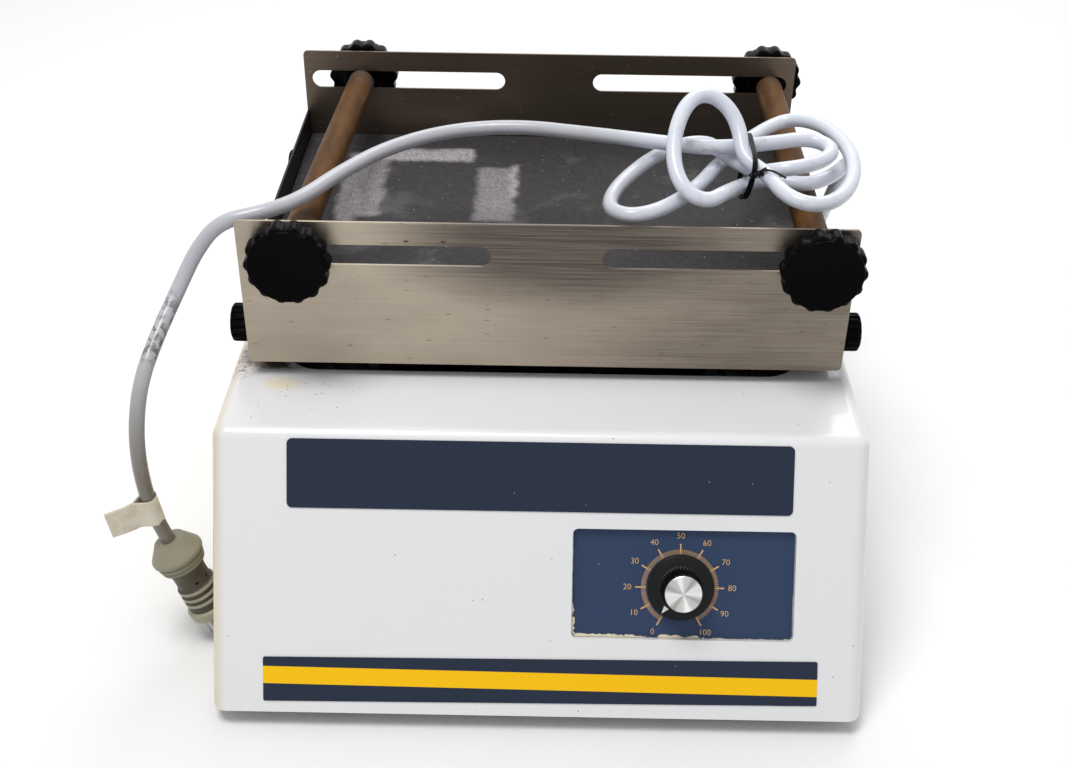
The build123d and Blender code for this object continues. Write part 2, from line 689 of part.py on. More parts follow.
def gland():
    """Strain relief that the cord leaves the rear wall through."""
    x, z = gland_place
    neck = bar_y(x, z, housing_rear - wall - 4, housing_rear, gland_neck_r)
    flange = bar_y(x, z, housing_rear, housing_rear + 4, 10.0)
    flat = Plane(origin=(x, housing_rear + 3.5, z), x_dir=(1, 0, 0), z_dir=(0, 1, 0))
    stem = (Align.CENTER, Align.CENTER, Align.MIN)
    return neck + flange + flat * Cone(gland_neck_r, cord_r + 1.2, gland_long - 3.5, align=stem)


def plug():
    """Moulded plug, turned from its profile, with two small pits in its waist, and its three blades."""
    profile = [(0, 0), (9, 0), (9.5, 0.8), (14.7, 8.4), (15.1, 9.2), (15.1, 10.8), (13.4, 11.6),
               (13.4, 12.6), (14, 13), (14, 14.2), (12.8, 14.6), (12.8, 15.8), (13.4, 16.4),
               (13, 17.8), (10.8, 19.4), (9.9, 24), (10, 31.6), (11.3, 32.6), (11.3, 34.2),
               (10.4, 35), (10.4, 36.8), (11.4, 37.4), (11.4, 38.8), (10.5, 39.6), (10.5, 41.2),
               (11.5, 41.8), (11.5, 43.2), (10.7, 44), (10.7, 47.8), (12.9, 48.8), (12.9, 51),
               (12.5, plug_long), (0, plug_long)]
    body = revolve(make_face(Plane.XZ * Polyline(*profile, close=True)), axis=Axis.Z)
    for turn in plug_pits:
        body -= Pos(0, 0, 28.4) * Rot(0, 0, turn) * Pos(10, 0, 0) * Rot(0, 90, 0) * Cylinder(1.0, 4.0)
    seat = Plane(origin=plug_start, x_dir=(0.936, 0, 0.352), z_dir=plug_axis)
    blades = [box(side * 6.35 - 0.75, side * 6.35 + 0.75, -3.15, 3.15, plug_long, plug_long + 15)
              for side in (-1, 1)]
    blades.append(post(0, 8.5, plug_long, plug_long + 16, 2.4))
    return seat * body, group([seat * blade for blade in blades])


def tie():
    """Twist tie round the strands at the hank's waist."""
    hole = make_face(Polyline(*tie_corners, close=True))
    hole = fillet(hole.vertices(), tie_round)
    ring = offset(hole, amount=tie_thick) - hole
    at = Plane(origin=(tie_x, 0, 0), x_dir=(0, 1, 0), z_dir=(1, 0, 0))
    return extrude(at * ring, amount=tie_wide)


def tag(tube):
    """Blank tag folded round the cord just above the plug, its two leaves together on the left."""
    reach, high, thick = tag_size
    side = Vector(*tag_along).cross(Vector(*tag_faces))
    fold = Plane(origin=tag_place, x_dir=side, z_dir=tag_along)
    strip = Cylinder(tag_fold_r + thick / 2, high) + Pos(reach / 2, 0, 0) * Box(reach, thick, high)
    return fold * (strip - Cylinder(tag_fold_r, high + 2)) - tube


white = (0.86, 0.87, 0.88)
black = (0.05, 0.05, 0.05)
steel = (0.62, 0.60, 0.57)
dark = (0.2, 0.2, 0.22)
navy = (0.15, 0.2, 0.3)
grey = (0.72, 0.74, 0.78)
amber = (0.4, 0.27, 0.14)
olive = (0.55, 0.55, 0.45)
green = (0.1, 0.3, 0.15)

save("housing_shell", housing(), white)
base_plate, feet, housing_screws = base()
save("base_plate", base_plate, dark)
save("feet", feet, black)
save("housing_screws", housing_screws, steel)
deck_plate, deck_posts = deck()
save("deck_plate", deck_plate, dark)
save("deck_posts", deck_posts, steel)
bearing_housing, idler_posts, deck_bearings = bearing_seats()
save("main_bearing_housing", bearing_housing, dark)
save("idler_posts", idler_posts, dark)
save("deck_bearings", deck_bearings, steel)
main_shaft, driven_pulley, counterweight, crank_web = crank()
save("main_shaft", main_shaft, steel)
save("driven_pulley", driven_pulley, steel)
save("counterweight", counterweight, dark)
save("crank_web", crank_web, steel)
for number, place in enumerate(idler_places, 1):
    save(f"idler_crank_{number}", idler(place), steel)
motor_body, motor_pulley = motor()
save("motor", motor_body, dark)
save("motor_pulley", motor_pulley, steel)
save("drive_belt", belt(), black)
control_board, board_components = controls()
save("control_board", control_board, green)
save("board_components", board_components, dark)
potentiometer, dial_plate, speed_spindle, speed_knob, speed_knob_cap = dial()
save("potentiometer", potentiometer, dark)
save("dial_plate", dial_plate, navy)
save("speed_spindle", speed_spindle, steel)
save("speed_knob", speed_knob, black)
save("speed_knob_cap", speed_knob_cap, steel)
upper_label = on_panel(upper_label_place, upper_label_size, 0, label_thick, 3.0)
lower_label = on_panel(lower_label_place, lower_label_size, 0, label_thick, 1.0, lower_label_skew)
save("upper_label", upper_label, navy)
save("lower_label", lower_label, navy)
switch_bezel, power_rocker, fuse_holder = rear_fittings()
save("switch_bezel", switch_bezel, black)
save("power_rocker", power_rocker, black)
save("fuse_holder", fuse_holder, black)
carriage_frame, carriage_hubs, carriage_bearings = carriage()
save("carriage", carriage_frame, black)
save("carriage_hubs", carriage_hubs, dark)
save("carriage_bearings", carriage_bearings, steel)
carrier_tray, mat, tray_nuts = tray()
save("carrier_tray", carrier_tray, black)
save("mat", mat, dark)
save("tray_nuts", tray_nuts, steel)
save("front_plate", end_plate(-1), steel)
save("rear_plate", end_plate(1), steel)
for hand, ends in (("left", left_bar_ends), ("right", right_bar_ends)):
    rod, sleeve = clamp_bar(ends)
    save(f"{hand}_bar_rod", rod, steel)
    save(f"{hand}_bar_sleeve", sleeve, amber)
    save(f"front_{hand}_knob", clamp_knob(ends[0], -1), black)
    save(f"rear_{hand}_knob", clamp_knob(ends[1], 1), black)
for hand, side in (("left", -1), ("right", 1)):
    save(f"front_{hand}_thumb_screw", side_knob(side, -1), black)
    save(f"rear_{hand}_thumb_screw", side_knob(side, 1), black)
cord_front_run, cord_hank, cord_rear_lead = cord()
save("cord_front_run", cord_front_run, grey)
save("cord_hank", cord_hank, grey)
save("cord_rear_lead", cord_rear_lead, grey)
save("cord_gland", gland(), grey)
plug_body, plug_blades = plug()
save("plug_body", plug_body, olive)
save("plug_blades", plug_blades, steel)
save("cord_tie", tie(), black)
save("cord_tag", tag(cord_front_run), white)
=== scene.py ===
"""Looks of a bench platform shaker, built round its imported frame.

Each sub-assembly is a class that makes its own pieces and finishes. Everything is in metres, in the
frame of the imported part: +X to the right, +Y to the back, +Z up, standing on z = 0. Sizes that are
fields or tables of points are in millimetres where they carry no MM.
"""
from __future__ import annotations

import json
import logging
import math
from dataclasses import dataclass
from enum import Enum
from functools import cache
from typing import Any, Callable, ClassVar, Sequence

import bmesh
import bpy
from bpy.types import GeometryNodeTree, ID, Material, Mesh, Node, NodeSocket, NodeTree, Object
from mathutils import Matrix, Vector


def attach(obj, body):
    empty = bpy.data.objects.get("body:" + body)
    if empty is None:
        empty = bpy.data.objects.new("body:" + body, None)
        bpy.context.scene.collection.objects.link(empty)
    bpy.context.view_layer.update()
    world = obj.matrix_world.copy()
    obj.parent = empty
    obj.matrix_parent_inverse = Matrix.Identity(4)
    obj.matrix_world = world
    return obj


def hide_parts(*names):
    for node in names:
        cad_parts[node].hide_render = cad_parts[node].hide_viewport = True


log = logging.getLogger("shaker")
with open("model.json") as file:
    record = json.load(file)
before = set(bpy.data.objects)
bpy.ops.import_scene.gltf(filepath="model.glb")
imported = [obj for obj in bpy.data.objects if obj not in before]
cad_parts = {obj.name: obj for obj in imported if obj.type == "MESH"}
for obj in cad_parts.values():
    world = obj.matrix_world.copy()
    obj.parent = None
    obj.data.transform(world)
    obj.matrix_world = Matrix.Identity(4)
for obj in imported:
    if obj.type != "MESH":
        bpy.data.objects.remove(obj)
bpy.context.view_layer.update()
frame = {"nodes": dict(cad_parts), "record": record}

MM = 0.001
COAT_ROUGHNESS = 0.06
WELD_DISTANCE = 0.002 * MM
EASED_STEPS = 2
SHARP_FROM = math.radians(40)
CARRIER_MIDDLE_Y = 54.5
PLUG_START = (-210.2, -120.8, 67.8)
PLUG_AXIS = (0.352, -0.022, -0.936)
Point = tuple[float, float, float]
Colour = tuple[float, float, float]
Oval = tuple[Point, Point]
Profile = tuple[tuple[float, float, float], ...]
Looks = dict[str, "Signal"]
Range = tuple[float, float] | None


class Body(Enum):
    """The bodies that the added pieces ride on, by the names that the frame gives them."""

    BASE = "base"
    SPEED_DIAL = "speed_dial"


class Hand(Enum):
    """Left or right, seen from the front."""

    LEFT = -1
    RIGHT = 1


class End(Enum):
    """The front or the rear end of the carrier."""

    FRONT = -1
    REAR = 1


def srgb(red: int, green: int, blue: int) -> Colour:
    """Turns a colour as a screen shows it, 0 to 255, into linear light.

    Args:
        red: Red share.
        green: Green share.
        blue: Blue share.

    Returns:
        The three linear shares.
    """

    def line(value: float) -> float:
        share = value / 255
        return share / 12.92 if share <= 0.04045 else ((share + 0.055) / 1.055) ** 2.4

    return line(red), line(green), line(blue)


def shade(colour: Colour, share: float) -> Colour:
    """A colour made darker or lighter."""
    return tuple(min(1.0, part * share) for part in colour)


def in_metres(point: Point) -> Point:
    """A point given in millimetres."""
    return tuple(part * MM for part in point)


def operator_for(operation: str, swapped: bool = False) -> Callable[[Signal, Any], Signal]:
    """Makes a signal's method for one sum on it and another number.

    Args:
        operation: The sum's name.
        swapped: Whether the other number comes first.

    Returns:
        The method.
    """

    def method(self: Signal, other: Any) -> Signal:
        """Adds the sum to the signal's own tree."""
        return self.graph.math(operation, *((other, self) if swapped else (self, other)))

    return method


class Signal:
    """One output of a node. A sum on it adds a node to the same tree; less gives 1 or 0."""

    __add__ = operator_for("ADD")
    __sub__ = operator_for("SUBTRACT")
    __rsub__ = operator_for("SUBTRACT", swapped=True)
    __mul__ = operator_for("MULTIPLY")
    less = operator_for("LESS_THAN")

    def __init__(self, graph: Graph, socket: NodeSocket) -> None:
        self.graph = graph
        self.socket = socket

    def __abs__(self) -> Signal:
        """This number without its sign."""
        return self.graph.math("ABSOLUTE", self)

    def band(self, low: float, high: float) -> Signal:
        """This number taken smoothly from 0 at low to 1 at high."""
        inputs = {"Value": self, "From Min": low, "From Max": high}
        return self.graph.get("ShaderNodeMapRange", "Result", inputs, interpolation_type="SMOOTHSTEP")

    def axis(self, name: str) -> Signal:
        """One axis of a point."""
        return self.graph.get("ShaderNodeSeparateXYZ", name, {0: self})

    def vector(self, operation: str, other: Any = (0.0, 0.0, 0.0)) -> Signal:
        """One sum on two points, which gives a number for a length or a dot product."""
        output = "Value" if operation in ("LENGTH", "DOT_PRODUCT") else "Vector"
        return self.graph.get("ShaderNodeVectorMath", output, {0: self, 1: other}, operation=operation)


class Graph:
    """Adds nodes to one tree and links them as it goes."""

    def __init__(self, tree: NodeTree) -> None:
        self.tree = tree

    def add(self, kind: str, inputs: dict[str | int, Any] | None = None, **settings: Any) -> Node:
        """Adds one node.

        Args:
            kind: The node's type name.
            inputs: A value or a signal for each input that isn't left at its default.
            settings: The node's own properties.

        Returns:
            The new node.
        """
        node = self.tree.nodes.new(kind)
        for name, value in settings.items():
            setattr(node, name, value)
        for key, value in (inputs or {}).items():
            if isinstance(value, Signal):
                self.tree.links.new(value.socket, node.inputs[key])
            else:
                node.inputs[key].default_value = value
        return node

    def get(self, kind: str, output: str | int, inputs: dict[str | int, Any] | None = None,
            **settings: Any) -> Signal:
        """Adds one node and gives one of its outputs."""
        return Signal(self, self.add(kind, inputs, **settings).outputs[output])

    def math(self, operation: str, first: Any, second: Any = 0.0, clamp: bool = False) -> Signal:
        """One sum on two numbers."""
        return self.get("ShaderNodeMath", 0, {0: first, 1: second}, operation=operation, use_clamp=clamp)


class Paint(Graph):
    """A surface's graph: textures read at one place, and colours laid one over another."""

    def __init__(self, tree: NodeTree, place: NodeSocket | None = None) -> None:
        """Starts with no colour, at the point on the object unless another place is given."""
        super().__init__(tree)
        if place is None:
            place = self.add("ShaderNodeTexCoord").outputs["Object"]
        self.place = Signal(self, place)
        self.base: Any = (0.0, 0.0, 0.0)

    def stretch(self, *scale: float) -> Signal:
        """The place, scaled along X, Y and Z before a texture reads it."""
        return self.get("ShaderNodeMapping", "Vector", {"Vector": self.place, "Scale": scale})

    def noise(self, scale: float, detail: float, roughness: float = 0.55, at: Signal | None = None) -> Signal:
        """Cloudy noise, 0 to 1."""
        inputs = {"Vector": at or self.place, "Scale": scale, "Detail": detail, "Roughness": roughness}
        return self.get("ShaderNodeTexNoise", "Fac", inputs)

    def shared(self, group: NodeTree, values: Sequence[float], at: Signal | None) -> Signal:
        """Places a shared effect and sets its numbers, in its inputs' order."""
        inputs = {0: at or self.place, **dict(enumerate(values, start=1))}
        return self.get("ShaderNodeGroup", 0, inputs, node_tree=group)

    def specks(self, per_metre: float, share: float, size: float, at: Signal | None = None) -> Signal:
        """Scattered grains or pits: a mask that is 1 on each."""
        return self.shared(specks_group(), (per_metre, share, size), at)

    def streaks(self, along: float, across: float) -> Signal:
        """Parallel scratches along X: a height, 0 to 1."""
        return self.shared(streaks_group(), (along, across), None)

    def smudges(self, per_metre: float, level: float, softness: float, at: Signal | None = None) -> Signal:
        """Soft-edged cloudy patches: a mask, 0 to 1."""
        return self.shared(smudges_group(), (per_metre, level, softness), at)

    def along(self, start: Point, direction: Point) -> Signal:
        """How far the place lies from a start in one direction."""
        return self.place.vector("SUBTRACT", start).vector("DOT_PRODUCT", direction)

    def spot(self, oval: Oval) -> Signal:
        """A soft mask: 1 at the middle of an oval given in millimetres, 0 from its reach outwards.

        Args:
            oval: Its middle and its reach along each axis.

        Returns:
            The mask.
        """
        middle, reach = (in_metres(point) for point in oval)
        scaled = self.place.vector("SUBTRACT", middle).vector("MULTIPLY", tuple(1 / part for part in reach))
        return scaled.vector("LENGTH").band(1.0, 0.35)

    def mix(self, share: Any, first: Any, second: Any) -> Signal:
        """A blend of two colours, either of them a colour or a signal."""
        first, second = (part if isinstance(part, Signal) else (*part, 1.0) for part in (first, second))
        return self.get("ShaderNodeMix", 2, {0: share, 6: first, 7: second}, data_type="RGBA")

    def blend(self, share: Any, first: Any, second: Any) -> None:
        """Takes a blend of two colours as the surface's colour."""
        self.base = self.mix(share, first, second)

    def stain(self, share: Signal, colour: Colour, strength: float = 1.0) -> None:
        """Lays a colour over what is there, at a mask's share of a strength."""
        self.base = self.mix(share * strength, self.base, colour)

    def close(self, value: Signal) -> NodeTree:
        """Ends a group with its one output and gives its tree."""
        self.add("NodeGroupOutput", {0: value})
        return self.tree


def facing(middle: Point, out: Point, across: Point) -> Matrix:
    """A frame whose Z looks along out and whose X lies as near across as it can.

    Args:
        middle: Where it stands.
        out: Where Z looks.
        across: Roughly where X lies.

    Returns:
        The frame as a matrix.
    """
    z = Vector(out).normalized()
    y = z.cross(Vector(across)).normalized()
    x = y.cross(z)
    turned = Matrix((x, y, z)).transposed().to_4x4()
    return Matrix.Translation(middle) @ turned


@dataclass(frozen=True)
class SlopedPanel:
    """Where the sloped front panel lies: down from its top bend and across from the middle."""

    bend: Point = (0.0, -121.6 * MM, 146.0 * MM)
    lean: float = math.atan2(72.9, 136.0)

    @property
    def up(self) -> Point:
        """The direction up the panel."""
        return 0.0, math.sin(self.lean), math.cos(self.lean)

    @property
    def out(self) -> Point:
        """The direction square out of the panel."""
        return 0.0, -math.cos(self.lean), math.sin(self.lean)

    def frame(self, across: float, down: float) -> Matrix:
        """A frame on the panel's surface, X across, Y up it and Z out of it.

        Args:
            across: How far right of the middle, in millimetres.
            down: How far down from the bend, in millimetres.

        Returns:
            The frame, which takes millimetres to metres in place.
        """
        middle = Vector(self.bend) + Vector((across, 0, 0)) * MM - Vector(self.up) * down * MM
        return facing(middle, self.out, (1, 0, 0)) @ Matrix.Scale(MM, 4)


PANEL = SlopedPanel()


def start_group(name: str, numbers: dict[str, float], output: str) -> tuple[Paint, list[Signal]]:
    """Starts a shared effect: a node group that takes a point and named numbers.

    Args:
        name: The group's name.
        numbers: Each number input with its default.
        output: Its only output's name.

    Returns:
        The group's graph, which reads that point, and its number inputs in order.
    """
    tree = bpy.data.node_groups.new(name, "ShaderNodeTree")
    tree.interface.new_socket("Vector", in_out="INPUT", socket_type="NodeSocketVector")
    for label, value in numbers.items():
        tree.interface.new_socket(label, in_out="INPUT", socket_type="NodeSocketFloat").default_value = value
    tree.interface.new_socket(output, in_out="OUTPUT", socket_type="NodeSocketFloat")
    source = tree.nodes.new("NodeGroupInput").outputs
    paint = Paint(tree, source["Vector"])
    return paint, [Signal(paint, source[label]) for label in numbers]


@cache
def specks_group() -> NodeTree:
    """Scattered grains of dust or small pits: a mask with a Share of the cells covered.

    Returns:
        The group's tree.
    """
    numbers = {"Per metre": 300.0, "Share": 0.2, "Size": 0.18}
    paint, (per_metre, share, size) = start_group("specks", numbers, "Mask")
    cells = paint.add("ShaderNodeTexVoronoi", {"Vector": paint.place, "Scale": per_metre}).outputs
    chosen = Signal(paint, cells["Color"]).axis("X").less(share)
    return paint.close(chosen * Signal(paint, cells["Distance"]).less(size))


@cache
def streaks_group() -> NodeTree:
    """Fine parallel scratches along X: a height, 0 to 1.

    Returns:
        The group's tree.
    """
    paint, (along, across) = start_group("streaks", {"Along": 12.0, "Across": 1800.0}, "Height")
    scale = paint.get("ShaderNodeCombineXYZ", 0, {"X": along, "Y": across, "Z": across})
    place = paint.place.vector("MULTIPLY", scale)
    fine, coarse = paint.noise(1.0, 2.0, 0.7, at=place), paint.noise(0.31, 2.0, at=place)
    return paint.close(fine * 0.6 + coarse * 0.4)


@cache
def smudges_group() -> NodeTree:
    """Cloudy patches with a soft edge: a mask that starts at Level of the noise.

    Returns:
        The group's tree.
    """
    numbers = {"Per metre": 20.0, "Level": 0.55, "Softness": 0.15}
    paint, (per_metre, level, softness) = start_group("smudges", numbers, "Mask")
    inputs = {"Vector": paint.place, "Scale": per_metre, "Detail": 6.0, "Roughness": 0.6, "Distortion": 0.4}
    over = paint.get("ShaderNodeTexNoise", "Fac", inputs) - level
    return paint.close(paint.math("DIVIDE", over, softness, clamp=True))


@dataclass(frozen=True)
class Finish:
    """A plain moulded, painted or turned surface with a little grain and cloud in it.

    grain is the relief's depth, grain_scale how many grains go to a metre, tone how far the colour
    wanders, and rough_range what the roughness runs between, where that doesn't follow from roughness.
    """

    name: str
    colour: Colour
    roughness: float = 0.5
    metallic: float = 0.0
    coat: float = 0.0
    tone: float = 0.25
    grain: float = 0.00004
    grain_scale: float = 900.0
    grain_detail: float = 2.0
    specular: float = 0.5
    rough_range: Range = None
    made: ClassVar[dict[str, Material]] = {}

    def dress(self, paint: Paint) -> Looks:
        """Adds the surface's own colour, roughness and relief to a material; each kind has its own.

        Args:
            paint: The material's graph.

        Returns:
            What feeds each input of the material's shader.
        """
        cloud = paint.noise(35.0, 4.0)
        paint.blend(cloud, shade(self.colour, 1 - self.tone), shade(self.colour, 1 + self.tone * 0.6))
        return self.looks(paint, rough=cloud)

    def looks(self, paint: Paint, relief: Signal | None = None, rough: Signal | None = None) -> Looks:
        """Gathers what feeds the shader.

        Args:
            paint: The material's graph, with its colour laid on.
            relief: The surface's height, where it isn't plain grain.
            rough: How far along its range the roughness is, where it varies.

        Returns:
            What feeds each input of the material's shader.
        """
        height = relief or paint.noise(self.grain_scale, self.grain_detail)
        bump = {"Height": height, "Distance": self.grain}
        looks = {"Base Color": paint.base, "Normal": paint.get("ShaderNodeBump", "Normal", bump)}
        if rough:
            low, high = self.rough_range or (self.roughness * 0.85, min(1.0, self.roughness * 1.2))
            inputs = {"Value": rough, "To Min": low, "To Max": high}
            looks["Roughness"] = paint.get("ShaderNodeMapRange", "Result", inputs)
        return looks

    def material(self) -> Material:
        """The material, built the first time that it is asked for."""
        if self.name not in Finish.made:
            Finish.made[self.name] = self.fresh()
        return Finish.made[self.name]

    def fresh(self) -> Material:
        """Builds the material: a Principled shader with the surface's own values and looks.

        Returns:
            The material.
        """
        made = bpy.data.materials.new(self.name)
        made.use_nodes = True
        shader = made.node_tree.nodes["Principled BSDF"]
        values = {"Metallic": self.metallic, "Roughness": self.roughness, "Coat Weight": self.coat,
                  "Coat Roughness": COAT_ROUGHNESS, "Specular IOR Level": self.specular}
        for name, value in values.items():
            shader.inputs[name].default_value = value
        for name, signal in self.dress(Paint(made.node_tree)).items():
            made.node_tree.links.new(signal.socket, shader.inputs[name])
        return made


@dataclass(frozen=True)
class HousingEnamel(Finish):
    """Glossy white shell, yellowed at its left edge, rust-marked at the left rear of its shelf."""

    grain: float = 0.00006
    grain_scale: float = 330.0
    grain_detail: float = 1.0
    rough_range: Range = (0.22, 0.34)
    yellow: Colour = srgb(214, 200, 168)
    rust: Colour = srgb(164, 98, 44)
    soot: Colour = srgb(58, 34, 26)
    cream: Colour = srgb(238, 228, 190)
    dirt: Colour = srgb(96, 88, 82)
    fleck: Colour = srgb(110, 108, 106)
    left_edge: float = -178.0 * MM
    rusted: Oval = ((-171, -55, 146), (16, 22, 14))
    smeared: Oval = ((-152, -57, 146), (26, 9, 6))
    creamed: Oval = ((-146, -77, 146), (15, 9, 8))
    flecked: Oval = ((-132, -92, 146), (44, 26, 20))

    def dress(self, paint: Paint) -> Looks:
        """Ages the white shell: yellowing, rust, a dark patch under the front plate, dirt in specks and faint
        orange peel.
        """
        cloud = paint.noise(9.0, 4.0)
        edge = paint.place.axis("X").band(self.left_edge + 9 * MM, self.left_edge + 1 * MM)
        paint.blend(paint.noise(3.0, 2.0), self.colour, shade(self.colour, 0.965))
        paint.stain(edge * cloud.band(0.2, 0.5), self.yellow, 0.8)
        fine, broad = paint.smudges(330.0, 0.47, 0.14), paint.smudges(120.0, 0.36, 0.2)
        paint.stain(paint.spot(self.creamed) * broad, self.cream, 0.75)
        # a dark patch on the shelf under the left end of the front plate
        paint.stain(paint.spot(self.smeared) * broad, self.soot, 0.95)
        paint.stain(paint.spot(self.rusted) * fine, self.rust, 0.95)
        paint.stain(paint.specks(190.0, 0.05, 0.10), self.dirt, 0.5)
        paint.stain(paint.specks(300.0, 0.3, 0.16) * paint.spot(self.flecked), self.fleck, 0.8)
        return self.looks(paint, rough=cloud)


@dataclass(frozen=True)
class BrushedSteel(Finish):
    """Stainless sheet brushed lengthwise with a painted sheen on its lines, browned towards its right and
    rear, spotted with rust, and with a painted shadow over its middle.
    """

    grain: float = 0.00003
    rough_range: Range = (0.26, 0.46)
    brown: Colour = srgb(112, 101, 90)
    stained: Colour = srgb(96, 66, 44)
    shadow: Colour = srgb(54, 44, 40)
    rear_brown: Colour = srgb(96, 81, 69)
    gleam: Colour = srgb(208, 202, 190)
    dust: Colour = srgb(170, 160, 150)
    nick: Colour = srgb(84, 70, 58)
    rust: Colour = srgb(84, 46, 28)
    left: float = -130.0 * MM
    right: float = 140.0 * MM
    darkened: Oval = ((8, -69.2, 232), (120, 40, 44))
    rust_dots: tuple[Point, ...] = ((-74.6, -69.2, 232.2), (-54.9, -69.2, 232.2))
    dot_reach: Point = (2.2, 3.0, 1.0)

    def dress(self, paint: Paint) -> Looks:
        """Brushes the sheet along X with a painted sheen on its lines, paints a broad shadow over its middle,
        and lays smudges, stains and specks over it.
        """
        lines = paint.streaks(26.0, 3600.0)
        cloud = paint.noise(7.0, 5.0, at=paint.stretch(1.0, 1.0, 2.4))
        browned = paint.place.axis("X").band(self.left, self.right) * 0.8
        browned = paint.math("ADD", browned, cloud.band(0.35, 0.72) * 0.4, clamp=True)
        paint.blend(browned, self.colour, self.brown)
        # painted shadow: a broad dark patch over the middle of the front plate
        paint.stain(paint.spot(self.darkened), self.shadow, 0.9)
        rear = paint.place.axis("Y").band(0.0, 0.1)
        paint.blend(rear, paint.base, paint.mix(cloud, self.rear_brown, self.brown))
        # painted sheen: the brushing lines lightened towards a pale gleam, less on the rear plate
        paint.stain(lines.band(0.32, 0.72) * (1.0 - rear * 0.7), self.gleam, 0.22)
        paint.stain(paint.specks(210.0, 0.16, 0.13) * rear, self.dust, 0.7)
        paint.stain(paint.smudges(90.0, 0.66, 0.06, paint.stretch(1.0, 1.0, 3.0)), self.stained, 0.35)
        paint.stain(paint.specks(330.0, 0.10, 0.16, paint.stretch(0.28, 1.0, 1.6)), self.nick, 0.6)
        for dot in self.rust_dots:
            paint.stain(paint.spot((dot, self.dot_reach)), self.rust, 0.8)
        return self.looks(paint, lines, lines)


@dataclass(frozen=True)
class LabelFilm(Finish):
    """Printed navy film, with a plain stripe where stripe_width isn't nothing.

    stripe_down is how far down the sloped panel from its top bend the stripe's middle lies. middle and
    half are the film's middle, across and down the panel, and half its size; chips is how far in from
    its edge it is torn.
    """

    grain: float = 0.00002
    grain_scale: float = 700.0
    grain_detail: float = 1.0
    rough_range: Range = (0.28, 0.46)
    skew: float = 0.0
    stripe_down: float = 0.0
    stripe_width: float = 0.0
    stripe: Colour = srgb(252, 196, 10)
    stripe_soft: float = 0.12 * MM
    middle: tuple[float, float] = (0.0, 0.0)
    half: tuple[float, float] = (1.0, 1.0)
    chips: float = 0.0
    chipped: Colour = srgb(226, 216, 190)
    dust: Colour = srgb(170, 172, 176)

    def torn(self, paint: Paint, height: Signal) -> Signal:
        """A mask over the film's torn edge, worst along its foot and to the left.

        Args:
            paint: The material's graph.
            height: How far up the panel the place is from the top bend.

        Returns:
            The mask, 1 where the film is gone.
        """
        (x, down), (half_x, half_y) = self.middle, self.half
        across = paint.place.axis("X")
        edge = paint.math("MINIMUM", half_x - abs(across - x), half_y - abs(height + down))
        ragged = (paint.noise(260.0, 5.0) * paint.noise(22.0, 2.0)).band(0.20, 0.36)
        below = height.band(-down, -down - half_y * 0.9)
        leftward = across.band(x + half_x * 0.35, x)
        return edge.less(ragged * self.chips * (below * (leftward * 0.75 + 0.2) + 0.14))

    def dress(self, paint: Paint) -> Looks:
        """Prints the film, chips its edge where it is worn, then scratches and dusts it a little."""
        _, up_y, up_z = PANEL.up
        upward = (math.sin(self.skew), math.cos(self.skew) * up_y, math.cos(self.skew) * up_z)
        height = paint.along(PANEL.bend, upward)
        paint.blend(paint.noise(12.0, 4.0), self.colour, shade(self.colour, 1.25))
        if self.stripe_width:
            edge = self.stripe_width / 2
            away = abs(height + self.stripe_down)
            paint.stain(away.band(edge + self.stripe_soft, edge - self.stripe_soft), self.stripe)
        if self.chips:
            paint.stain(self.torn(paint, height), self.chipped)
        paint.stain(paint.specks(260.0, 0.05, 0.10), self.dust, 0.5)
        return self.looks(paint, rough=paint.streaks(30.0, 600.0))


@dataclass(frozen=True)
class DustyRubber(Finish):
    """Rubber with pale dust on it: specks all over, rubbed patches, and scuffs where things have stood.

    scuffs holds each scuff's low and high corner over X and Y, and how strong it is.
    """

    grain_detail: float = 3.0
    dust: Colour = srgb(174, 169, 171)
    patches: float = 0.12
    patch_scale: float = 22.0
    level: float = 0.56
    scuffs: tuple[tuple[float, float, float, float, float], ...] = ()
    wander: float = 9.0 * MM
    soft: float = 3.2 * MM

    def dress(self, paint: Paint) -> Looks:
        """Lays dust and scuffs over the rubber."""
        paint.blend(paint.noise(240.0, 5.0, 0.75), shade(self.colour, 0.35), shade(self.colour, 1.5))
        paint.stain(paint.smudges(self.patch_scale, self.level, 0.12), self.dust, self.patches)
        chalk = paint.smudges(300.0, 0.04, 0.6, paint.stretch(1.9, 1.0, 1.0))
        shifted = paint.place.vector("SUBTRACT", paint.noise(90.0, 4.0) * self.wander)
        for x0, y0, x1, y1, strength in self.scuffs:
            worn = chalk
            for name, first, last in (("X", x0 * MM, x1 * MM), ("Y", y0 * MM, y1 * MM)):
                value = shifted.axis(name)
                worn = worn * value.band(first - self.soft, first + self.soft)
                worn = worn * value.band(last + self.soft, last - self.soft)
            paint.stain(worn, self.dust, strength)
        paint.stain(paint.specks(300.0, 0.10, 0.14), self.dust, 0.6)
        return self.looks(paint)


@dataclass(frozen=True)
class BarSleeve(Finish):
    """Aged amber rubber tube, with painted shade on its underside and blue-grey grime near its ends."""

    rough_range: Range = (0.34, 0.55)
    grime: Colour = srgb(80, 74, 70)
    blot: Colour = srgb(58, 42, 28)
    low: float = 217.0 * MM
    high: float = 230.0 * MM
    front: float = -60.0 * MM
    rear: float = 168.0 * MM

    def dress(self, paint: Paint) -> Looks:
        """Paints shade on the tube's underside, fading out upwards, and soils both ends."""
        # painted shade: the tube darker on its underside, fading out upwards
        paint.blend(paint.place.axis("Z").band(self.low, self.high), shade(self.colour, 0.45), self.colour)
        blotch = paint.noise(90.0, 5.0, at=paint.stretch(1.0, 0.35, 1.0))
        paint.stain(blotch.band(0.42, 0.62), self.blot, 0.6)
        length = paint.place.axis("Y")
        near = length.band(self.front + 34 * MM, self.front)
        far = length.band(self.rear - 22 * MM, self.rear)
        paint.stain(paint.math("MAXIMUM", near, far) * paint.smudges(60.0, 0.38, 0.2), self.grime, 0.7)
        return self.looks(paint, rough=blotch)


